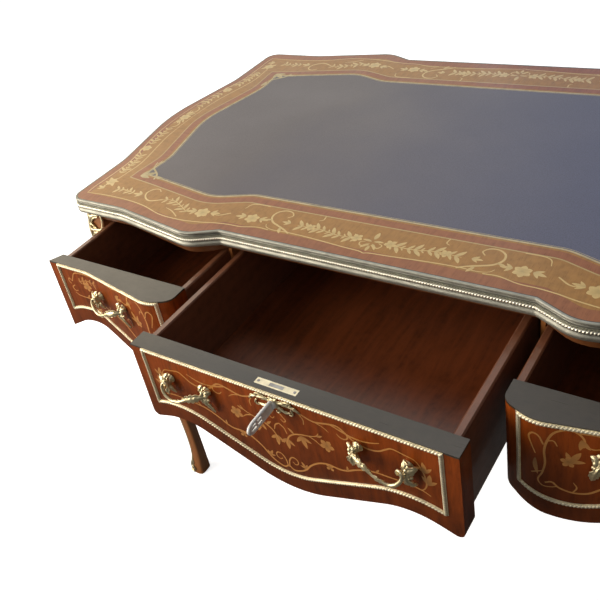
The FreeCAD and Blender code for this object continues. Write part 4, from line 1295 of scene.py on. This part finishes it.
def build_edge_strips():
    """A beaded wire down the outer edge of each leg."""
    bm = bmesh.new()
    rise = (STRIP_HIGH - STRIP_LOW) / STRIP_STEPS
    for _, corner_x, corner_y in CORNERS:
        place = leg_place(corner_x, corner_y)
        line = [place(0, STRIP_LOW + rise * k, 0.5) / MM for k in range(STRIP_STEPS + 1)]
        tube(bm, line, lambda share: 1.5 + 0.3 * math.sin(2 * math.pi * share * STRIP_BEADS), 8)
    piece = finished("leg_edge_strips", bm, "desk", "gilt_brass", 60)
    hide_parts("leg_edge_strips")


# Pulls, escutcheon, key and lock
PULL_Z = 690.0
CENTRE_PULL_X = 155.0
SIDE_PULL_X = 412.0


def build_pull(bm, place):
    """One cast pull: a leafy rosette at each end of a drooping bar; a runs to the outer end."""
    bail = [
        (-34, -2, 4), (-31, -4, 14), (-22, -7, 20), (-11, -9.5, 22.5), (-2, -14, 24), (8, -18, 24.5),
        (18, -20.5, 24), (27, -17, 23), (33, -10, 21.5), (35.5, -3, 19.5), (33, 2.5, 17.5), (28.5, 2, 16),
        (26.5, -2.5, 16), (28.5, -5.5, 16),
    ]
    bar(bm, bail, (3.6, 3.4, 3.0, 2.6, 2.2, 2.2, 2.4, 2.7, 2.9, 2.7, 2.3, 2.0, 1.8), place)
    bar(bm, [(34, -7, 4), (34, -7, 12), (34, -7, 20)], (4.0, 3.2, 2.6), place)
    leaves = (
        ([(-38, -3, 11), (-30, -3, 18), (-20, -5.5, 22), (-11, -8.5, 24), (-3, -13, 25)], 7.6, 2.4, 5),
        ([(-35, -6, 10), (-39, -14, 12), (-41, -22, 10), (-42, -30, 7), (-44, -38, 4)], 6.4, 2.2, 4),
        ([(-33, -4, 8), (-39, 2, 10), (-46, 5, 6)], 6.0, 2.6, 2),
        ([(-32, -3, 8), (-30, 6, 9), (-32, 12, 5)], 5.4, 2.6, 2),
        ([(-31, -7, 10), (-31, -16, 11), (-28, -23, 7)], 5.0, 2.6, 2),
        ([(-2, -13, 25.5), (6, -17.5, 26.2), (15, -20, 25)], 4.4, 2.2, 2),
        ([(34, -6, 12), (39, -1, 13), (45, 3, 10.5), (50, 4, 6)], 6.8, 2.8, 3),
        ([(34, -10, 12), (37, -18, 13), (42, -24, 10), (47, -26, 6)], 6.6, 2.8, 3),
        ([(33, -4, 10), (35, 5, 11), (32, 12, 6)], 5.4, 2.6, 2),
        ([(32, -9, 9), (27, -17, 9), (25, -24, 5)], 5.0, 2.6, 2),
    )
    for points, half_width, thickness, lobes in leaves:
        acanthus(bm, points, half_width, place, thickness, lobes)
    beads = (
        ((-40, -2, 9), 3.6), ((-34, 2, 10), 3.0), ((-42, -10, 8), 2.6),
        ((39, -7, 11), 3.4), ((42, -12, 9), 2.6), ((36, 0, 12), 2.6),
    )
    for where, radius in beads:
        bead(bm, where, radius, place)
    for end in (-34, 34):
        bar(bm, [(end, -2, 0.2), (end, -2, 4.0), (end, -3, 9.0)], (8.0, 5.2, 4.2), place, 16)


def build_pulls():
    """Two pulls on the centre drawer, and one on the falling part of each side drawer's front."""
    for name, mirror in (("centre_pull_right", 1), ("centre_pull_left", -1)):
        bm = bmesh.new()
        build_pull(bm, pull_place(CENTRE_PULL_X, PULL_Z, CENTRE_FACE, 0.0, mirror))
        cast(name, bm, "centre_drawer", "centre_drawer_pulls")
    (belly_x, belly, _), (flat_x, _, _) = SIDE_FACE_PLAN[1:3]
    slope = belly / (flat_x - belly_x)
    face = SIDE_FACE_STRAIGHT - (flat_x - SIDE_PULL_X) * slope
    for side, mirror in (("right", 1), ("left", -1)):
        bm = bmesh.new()
        build_pull(bm, pull_place(SIDE_PULL_X, PULL_Z, face, math.atan(slope), mirror))
        cast(side + "_pull", bm, side + "_drawer", side + "_drawer_pull")


def build_escutcheon():
    """Slim scrolls and leaves around the keyhole."""
    bm = bmesh.new()
    place = pull_place(0.0, (KEY_LOW.z + KEY_HIGH.z) / 2, CENTRE_FACE)
    turns = [2 * math.pi * k / 16 for k in range(17)]
    ring = [(6.4 * math.cos(turn), 6.4 * math.sin(turn), 1.6) for turn in turns]
    bar(bm, ring, (1.9,), place, 8)
    for side, drop in ((-1, -7), (1, -4)):
        leaves = (
            ([(5, 1, 1.6), (13, 5, 2.8), (21, 4, 2.8), (27, 1, 1.8)], 4.4, 1.6, 3),
            ([(24, 3, 1.6), (30, 3, 2.6), (36, 0, 2.4), (41, drop, 1.4)], 3.4, 1.5, 3),
            ([(5, -3, 1.4), (13, -8, 2.6), (20, -10, 2.2), (26, -8, 1.4)], 3.2, 1.5, 2),
        )
        for points, half_width, thickness, lobes in leaves:
            acanthus(bm, sided(side, points), half_width, place, thickness, lobes)
        curls = (
            ([(16, 6, 1.4), (20, 9, 1.8), (26, 9, 1.8), (29, 6, 1.6), (26, 4, 1.4)], (1.4, 1.5, 1.3, 1.0)),
            ([(27, -2, 1.4), (30, -7, 1.8), (28, -11, 1.8), (24, -12, 1.4)], (1.4, 1.4, 1.2, 1.0)),
            ([(6, -5, 1.4), (9, -11, 1.8), (6, -14.5, 1.6), (3, -12, 1.4)], (1.5, 1.4, 1.2, 1.0)),
        )
        for points, radii in curls:
            bar(bm, sided(side, points), radii, place, 8)
    for side in (-1, 0, 1):
        acanthus(bm, sided(side, [(2, 5, 1.4), (4, 7.4, 2.2), (7, 8.8, 1.4)]), 2.6, place, 1.5, 1)
    cast("escutcheon_mount", bm, "centre_drawer", "escutcheon")


def build_key():
    """A stout key: a long flat bow with a raised rim and narrow eyes towards its end."""
    bm = bmesh.new()
    middle_z = (KEY_LOW.z + KEY_HIGH.z) / 2

    def place(x, y, z):
        return Vector((x, y, middle_z + z)) * MM

    tip, end = KEY_HIGH.y, KEY_LOW.y
    root = CENTRE_FACE - 3.0
    bar(bm, [(0, tip, 0), (0, (tip + root) / 2, 0), (0, root, 0)], (2.6,), place, 16)
    bar(bm, [(0, root + 1.5, 0), (0, root - 1.0, 0), (0, root - 4.0, 0)], (5.4, 6.6, 5.6), place, 20)
    rim = [
        (0, root - 3, 6.2), (0, root - 14, 6.8), (0, end + 24, 6.8), (0, end + 12, 6.6),
        (0, end + 5.4, 4.6), (0, end + 2.6, 0),
    ]
    rim += [(x, y, -z) for x, y, z in reversed(rim[:-1])]
    bar(bm, rim, (2.6,), place, 12)
    webs = ((end + 30, root - 2, 6.8), (end + 17.5, end + 21.0, 6.8), (end + 3.0, end + 6.5, 5.0))
    for low, high, reach in webs:
        web = bmesh.ops.create_cube(bm, size=1.0)["verts"]
        bmesh.ops.scale(bm, vec=Vector((3.4, high - low, reach * 2)) * MM, verts=web)
        bmesh.ops.translate(bm, vec=place(0, (low + high) / 2, 0), verts=web)
    bar(bm, [(0, end + 32, 0), (0, end + 18, 0), (0, end + 4, 0)], (2.2, 1.9, 2.2), place, 10)
    cast("key_bright", bm, "key", "key", "key_nickel", KEY_GRAIN)


def build_lock_screws():
    """Slotted screws at the two ends of the lock plate."""
    bm = bmesh.new()
    middle = (PLATE_LOW + PLATE_HIGH) / 2
    for side in (-1, 1):
        where = Vector((side * (PLATE_HIGH.x - 4.4), middle.y, PLATE_HIGH.z + 0.1))
        head = bmesh.ops.create_cone(
            bm, cap_ends=True, segments=20, radius1=2.3 * MM, radius2=2.0 * MM, depth=0.5 * MM
        )["verts"]
        bmesh.ops.translate(bm, vec=where * MM, verts=head)
        slot = bmesh.ops.create_cube(bm, size=1.0)["verts"]
        bmesh.ops.scale(bm, vec=Vector((3.6, 0.5, 0.12)) * MM, verts=slot)
        bmesh.ops.rotate(bm, cent=(0, 0, 0), matrix=Matrix.Rotation(0.6 * side, 3, "Z"), verts=slot)
        bmesh.ops.translate(bm, vec=(where + Vector((0, 0, 0.26))) * MM, verts=slot)
    finished("lock_plate_screws", bm, "centre_drawer", "lock_steel")


# Operators
class DESK_OT_materials(Operator):
    """Makes the finishes"""
    bl_idname = "desk.materials"
    bl_label = "Finishes"

    def execute(self, context):
        build_materials()
        return {"FINISHED"}


# Solids that stay in view, by their finish
CARRIED = {
    "carcass_wood": ("back_board", "right_apron", "left_apron", "right_divider", "left_divider"),
    "rail_wood": ("front_rail", "back_rail"),
    "secondary_wood": ("bearer_rails", "drawer_runners", "drawer_guides", "drawer_kickers", "glue_blocks"),
    "front_veneer": (
        "back_centre_false_front", "back_side_false_fronts", "centre_drawer_front", "right_drawer_front",
        "left_drawer_front",
    ),
    "ebonised_wood": ("centre_drawer_cap", "right_drawer_cap", "left_drawer_cap"),
    "drawer_lining": ("top_core", "centre_drawer_sides", "right_drawer_sides", "left_drawer_sides"),
    "drawer_lining_across": ("centre_drawer_back", "right_drawer_back", "left_drawer_back"),
    "drawer_floor": ("centre_drawer_floor", "right_drawer_floor", "left_drawer_floor"),
    "rope_brass": ("lock_plate",),
    "lock_steel": ("lock_case", "lock_bolt"),
}


class DESK_OT_solids(Operator):
    """Gives the solids that stay in view their finishes"""
    bl_idname = "desk.solids"
    bl_label = "Solids"

    def execute(self, context):
        for finish, nodes in CARRIED.items():
            for node in nodes:
                dress(node, finish)
        return {"FINISHED"}


def band_between(name, line, distances, rise, finish):
    """A flat band of veneer or gold on the top, between two distances beside a closed line."""
    bm = bmesh.new()
    sides = [parallel(line, distance) for distance in distances]
    level = sizes().inlay_stand / MM * rise

    def corner(i, j):
        p = sides[j][i % len(line)]
        return on_top(p.x, p.y, level)

    grid(bm, len(line), 1, corner, True)
    inlaid(name, bm, "desk", finish)


def lowered(node, finish):
    """A merged copy of a sheet of the top, sunk a little below the moulding's lip."""
    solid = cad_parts[node]
    bm = bmesh.new()
    bm.from_mesh(solid.data)
    bmesh.ops.remove_doubles(bm, verts=bm.verts, dist=0.001 * MM)
    bmesh.ops.translate(bm, vec=(0, 0, -TOP_SINK * MM), verts=bm.verts)
    piece = finished(node + "_sheet", bm, "desk", finish)
    imported = piece.data.attributes.get("custom_normal")
    if imported:
        piece.data.attributes.remove(imported)
    piece.data.shade_flat()
    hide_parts(node)


class DESK_OT_top(Operator):
    """Inlay, inner crossband and gold tooling of the writing surface"""
    bl_idname = "desk.top"
    bl_label = "Writing surface"

    def execute(self, context):
        lowered("marquetry_band", "marquetry_ground")
        lowered("outer_crossband", "kingwood_veneer")
        lowered("writing_leather", "writing_leather")
        edge = even(around(LEATHER_QUARTER, LEATHER_END), CURVE_STEP, True)
        band_between("inner_crossband", edge, INNER_CROSSBAND, 0.2, "kingwood_veneer")
        band_between("inner_line", edge, INNER_LINE, 0.3, "top_marquetry")
        eased = [(x, y, radius or TOOLED_CORNER) for x, y, radius in LEATHER_QUARTER]
        tooled = even(around(eased, LEATHER_END), CURVE_STEP, True)
        band_between("gold_line", tooled, GOLD_LINE, 0.6, "tooled_gold")
        band_between("gold_tooling", tooled, GOLD_TOOLING, 0.5, "tooled_gold")
        rim = even(around(TOP_QUARTER, TOP_END), CURVE_STEP, True)
        band_between("edge_stringing", rim, EDGE_STRINGING, 0.4, "ebonised_wood")
        art = Inlay(on_top, FOUR_QUARTERS)
        top_vine(art)
        end_vine(art)
        art.finish("top_marquetry", "desk", finish="top_marquetry")
        gold = Inlay(on_top, FOUR_QUARTERS)
        gold.stem([(494, 244), (500, 228), (514, 216), (526, 206), (534, 186)], 1.6, 1.0)
        gold.spray(532, 240, 216, 32, 3, 34)
        gold.leaf(497, 234, 160, 20, 0.42)
        gold.leaf(530, 194, 262, 20, 0.42)
        gold.finish("gold_corners", "desk", "gilt_brass", "tooled_gold")
        return {"FINISHED"}


# The rope around the top: its place inside the outline and its height
EDGE_ROPE_INSIDE = 0.4
EDGE_ROPE_Z = 766.3
# Section of the edge moulding: how far out of the outline, and height
EDGE_SECTION = (
    (-10, 752), (-0.8, 752), (0.6, 752.8), (1.2, 754.4), (1.2, 757.2), (0.3, 759.2), (-1.2, 760.6),
    (-1.9, 763.5), (-1.9, 769.0), (-1.6, 770.8), (-3.6, 771.4), (-4.9, 772.8), (-4.4, 774.8),
    (-2.2, 775.8), (-0.4, 776.3), (0, 777.4), (-0.2, 778.8), (-1.2, 779.8), (-2.0, 780), (-4, 780),
    (-4, 779), (-10, 779),
)


class DESK_OT_edge(Operator):
    """Brass moulding with its twisted rope around the top"""
    bl_idname = "desk.edge"
    bl_label = "Edge moulding"

    def execute(self, context):
        outline = even(around(TOP_QUARTER, TOP_END), CURVE_STEP, True)
        bm = bmesh.new()
        section_sweep(bm, outline, EDGE_SECTION, in_plan)
        piece = finished("edge_moulding", bm, "desk", "edge_brass", 28)
        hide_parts("top_edge_moulding")
        bm = bmesh.new()
        line = parallel(outline, EDGE_ROPE_INSIDE)
        rope(bm, line, EDGE_ROPE_Z, TOP_ROPE_RADIUS, TOP_ROPE_RELIEF, in_plan)
        finished("edge_rope", bm, "desk", "edge_rope_brass", 60)
        return {"FINISHED"}


class DESK_OT_fronts(Operator):
    """Rope borders and inlay of the three drawer fronts"""
    bl_idname = "desk.fronts"
    bl_label = "Drawer fronts"

    def execute(self, context):
        rope_border(
            "centre_rope", *CENTRE_BORDER, on_centre_front, "centre_drawer", "centre_drawer_rope_border"
        )
        rope_border("right_rope", *SIDE_BORDER, on_side_front, "right_drawer", "right_drawer_rope_border")
        rope_border(
            "left_rope", *SIDE_BORDER, left_of(on_side_front), "left_drawer", "left_drawer_rope_border"
        )
        art = Inlay(on_centre_front, BOTH_HALVES)
        centre_vine(art)
        art.finish("centre_marquetry", "centre_drawer")
        for side, place, turned in (("right", on_side_front, False), ("left", left_of(on_side_front), True)):
            art = Inlay(place, turned=turned)
            side_vine(art)
            art.finish(side + "_marquetry", side + "_drawer")
        return {"FINISHED"}


class DESK_OT_panels(Operator):
    """Rope borders and inlay of the back and of the two ends"""
    bl_idname = "desk.panels"
    bl_label = "Back and end panels"

    def execute(self, context):
        rope_border("back_centre_rope", *CENTRE_BORDER, on_back_centre, "desk")
        art = Inlay(on_back_centre, BOTH_HALVES, True)
        centre_vine(art)
        art.finish("back_centre_marquetry", "desk")
        for side, mirror in (("right", False), ("left", True)):
            place = left_of(on_back_side) if mirror else on_back_side
            rope_border(side + "_back_rope", *SIDE_BORDER, place, "desk")
            art = Inlay(place, turned=not mirror)
            side_vine(art)
            art.finish(side + "_back_marquetry", "desk")
            place = left_of(on_apron) if mirror else on_apron
            rope_border(side + "_apron_rope", *APRON_BORDER, place, "desk")
            art = Inlay(place, BOTH_HALVES, mirror)
            apron_vine(art)
            art.finish(side + "_apron_marquetry", "desk")
        return {"FINISHED"}


class DESK_OT_legs(Operator):
    """Cabriole legs with their knee leaves, edge strips and sabots"""
    bl_idname = "desk.legs"
    bl_label = "Legs and mounts"

    def execute(self, context):
        for name, corner_x, corner_y in CORNERS:
            build_leg(name + "_leg", corner_x, corner_y)
            build_knee_mount(name + "_knee_leaf", corner_x, corner_y)
            build_sabot(name + "_sabot", corner_x, corner_y)
        build_edge_strips()
        return {"FINISHED"}


class DESK_OT_fittings(Operator):
    """Pulls, escutcheon, key and lock screws"""
    bl_idname = "desk.fittings"
    bl_label = "Pulls, lock and key"

    def execute(self, context):
        build_pulls()
        build_escutcheon()
        build_key()
        build_lock_screws()
        return {"FINISHED"}


# Camera worked out from the photograph: place in metres, turn in degrees
CAMERA_PLACE = (0.5311, -1.1511, 1.4420)
CAMERA_TURN = (56.413, 11.791, 35.956)
CAMERA_SHIFT = (0.1062, -0.0697)
FILM_WIDTH = 36.0
FLOOR_SIZE = 30.0
FLOOR_DROP = 0.0005
# The floor's own light for the camera rises between these distances from the desk's middle
FLOOR_NEAR, FLOOR_FAR = 1.2, 2.6
LAMPS_AIM = Vector((0, -0.1, 0.6))
# Area lamps: place, width and height in metres, power in watts, tint
LAMPS = (
    ("back_window", (-3.0, 2.6, 2.6), 4.4, 3.4, 42.0, (1.0, 0.99, 0.93)),
    ("high_window", (-1.1, 1.3, 3.5), 2.6, 1.8, 8.0, (1.0, 0.96, 0.90)),
    ("side_window", (-2.85, 1.13, 2.38), 1.2, 1.2, 5.0, (1.0, 0.78, 0.46)),
    ("back_sky", (-0.3, 4.4, 2.7), 3.0, 2.2, 16.0, (0.45, 0.62, 1.0)),
    ("left_window", (-2.1, -1.75, 1.5), 2.6, 2.4, 106.0, (1.0, 0.90, 0.78)),
    ("overhead", (-0.5, 0.45, 3.4), 1.0, 1.0, 11.0, (1.0, 1.0, 1.0)),
    ("front_fill", (0.7, -2.0, 2.4), 1.6, 1.6, 5.0, (1.0, 0.97, 0.92)),
)


def build_camera(scene):
    """The photograph's camera."""
    data = bpy.data.cameras.new("camera")
    data.lens = sizes().lens
    data.sensor_width = FILM_WIDTH
    data.shift_x, data.shift_y = CAMERA_SHIFT
    data.clip_start, data.clip_end = 0.05, 100.0
    camera = linked("camera", data)
    camera.location = CAMERA_PLACE
    camera.rotation_euler = [math.radians(a) for a in CAMERA_TURN]
    scene.camera = camera


def build_floor():
    """A plain pale floor that keeps the desk's shadow and sends little light back at the fronts."""
    bm = bmesh.new()
    bmesh.ops.create_grid(bm, x_segments=1, y_segments=1, size=FLOOR_SIZE / 2)
    floor = linked("floor", mesh_from("floor", bm))
    floor.location.z = -FLOOR_DROP
    tree, shader, where = new_material("floor")
    seen = tree.nodes.new("ShaderNodeLightPath").outputs["Is Camera Ray"]
    tree.links.new(blend(tree, seen, opaque(WHITE, 0.16), opaque(WHITE, 0.8)), shader.inputs["Base Color"])
    shader_values(shader, Roughness=0.9, Specular_IOR_Level=0.1, Emission_Color=opaque(WHITE))
    away = add(tree, "VectorMath", {"operation": "LENGTH"}, {0: where}).outputs["Value"]
    glow = maths(tree, "MULTIPLY", seen, ramp(tree, away, FLOOR_NEAR, FLOOR_FAR, 0.72, 1.0))
    tree.links.new(glow, shader.inputs["Emission Strength"])
    floor.data.materials.append(material("floor"))


def build_lamps():
    """Soft rectangular lamps, all aimed at the top."""
    for name, place, width, height, power, tint in LAMPS:
        lamp = bpy.data.lights.new(name, "AREA")
        lamp.shape = "RECTANGLE"
        lamp.size, lamp.size_y = width, height
        lamp.energy = power
        lamp.color = tint
        holder = linked(name, lamp)
        holder.location = place
        holder.rotation_euler = (LAMPS_AIM - Vector(place)).to_track_quat("-Z", "Y").to_euler()


def build_surroundings(scene):
    """White to the camera, and a faint even light on the desk."""
    world = bpy.data.worlds.new("surroundings")
    world.use_nodes = True
    scene.world = world
    tree = world.node_tree
    path = tree.nodes.new("ShaderNodeLightPath").outputs
    white = maths(tree, "MAXIMUM", path["Is Camera Ray"], path["Is Transmission Ray"])
    back = tree.nodes["Background"]
    back.inputs["Color"].default_value = opaque(WHITE)
    tree.links.new(ramp(tree, white, 0.0, 1.0, 0.10, 1.0), back.inputs["Strength"])


class DESK_OT_stage(Operator):
    """Floor, soft lights, white surroundings and the camera"""
    bl_idname = "desk.stage"
    bl_label = "Studio"

    def execute(self, context):
        build_camera(context.scene)
        build_floor()
        build_lamps()
        build_surroundings(context.scene)
        context.scene.view_settings.view_transform = "Standard"
        return {"FINISHED"}


class DESK_PT_builder(Panel):
    """Lists the steps that dress the desk"""
    bl_idname = "DESK_PT_builder"
    bl_label = "Serpentine Writing Table"
    bl_space_type = "VIEW_3D"
    bl_region_type = "UI"
    bl_category = "Desk"

    def draw(self, context):
        layout = self.layout
        for group in (context.scene.desk_sizes, context.scene.desk_colours):
            box = layout.box()
            for key in group.__annotations__:
                box.prop(group, key)
        for step in STEPS:
            layout.operator(step.bl_idname)


STEPS = (
    DESK_OT_materials, DESK_OT_solids, DESK_OT_top, DESK_OT_edge, DESK_OT_fronts, DESK_OT_panels,
    DESK_OT_legs, DESK_OT_fittings, DESK_OT_stage,
)
CLASSES = (DeskSizes, DeskColours) + STEPS + (DESK_PT_builder,)


def register():
    for made in CLASSES:
        bpy.utils.register_class(made)
    bpy.types.Scene.desk_sizes = PointerProperty(type=DeskSizes)
    bpy.types.Scene.desk_colours = PointerProperty(type=DeskColours)


def unregister():
    del bpy.types.Scene.desk_sizes
    del bpy.types.Scene.desk_colours
    for made in reversed(CLASSES):
        bpy.utils.unregister_class(made)


def main():
    register()
    bpy.ops.desk.materials()
    bpy.ops.desk.solids()
    bpy.ops.desk.top()
    bpy.ops.desk.edge()
    bpy.ops.desk.fronts()
    bpy.ops.desk.panels()
    bpy.ops.desk.legs()
    bpy.ops.desk.fittings()
    bpy.ops.desk.stage()


if __name__ == "__main__":
    main()
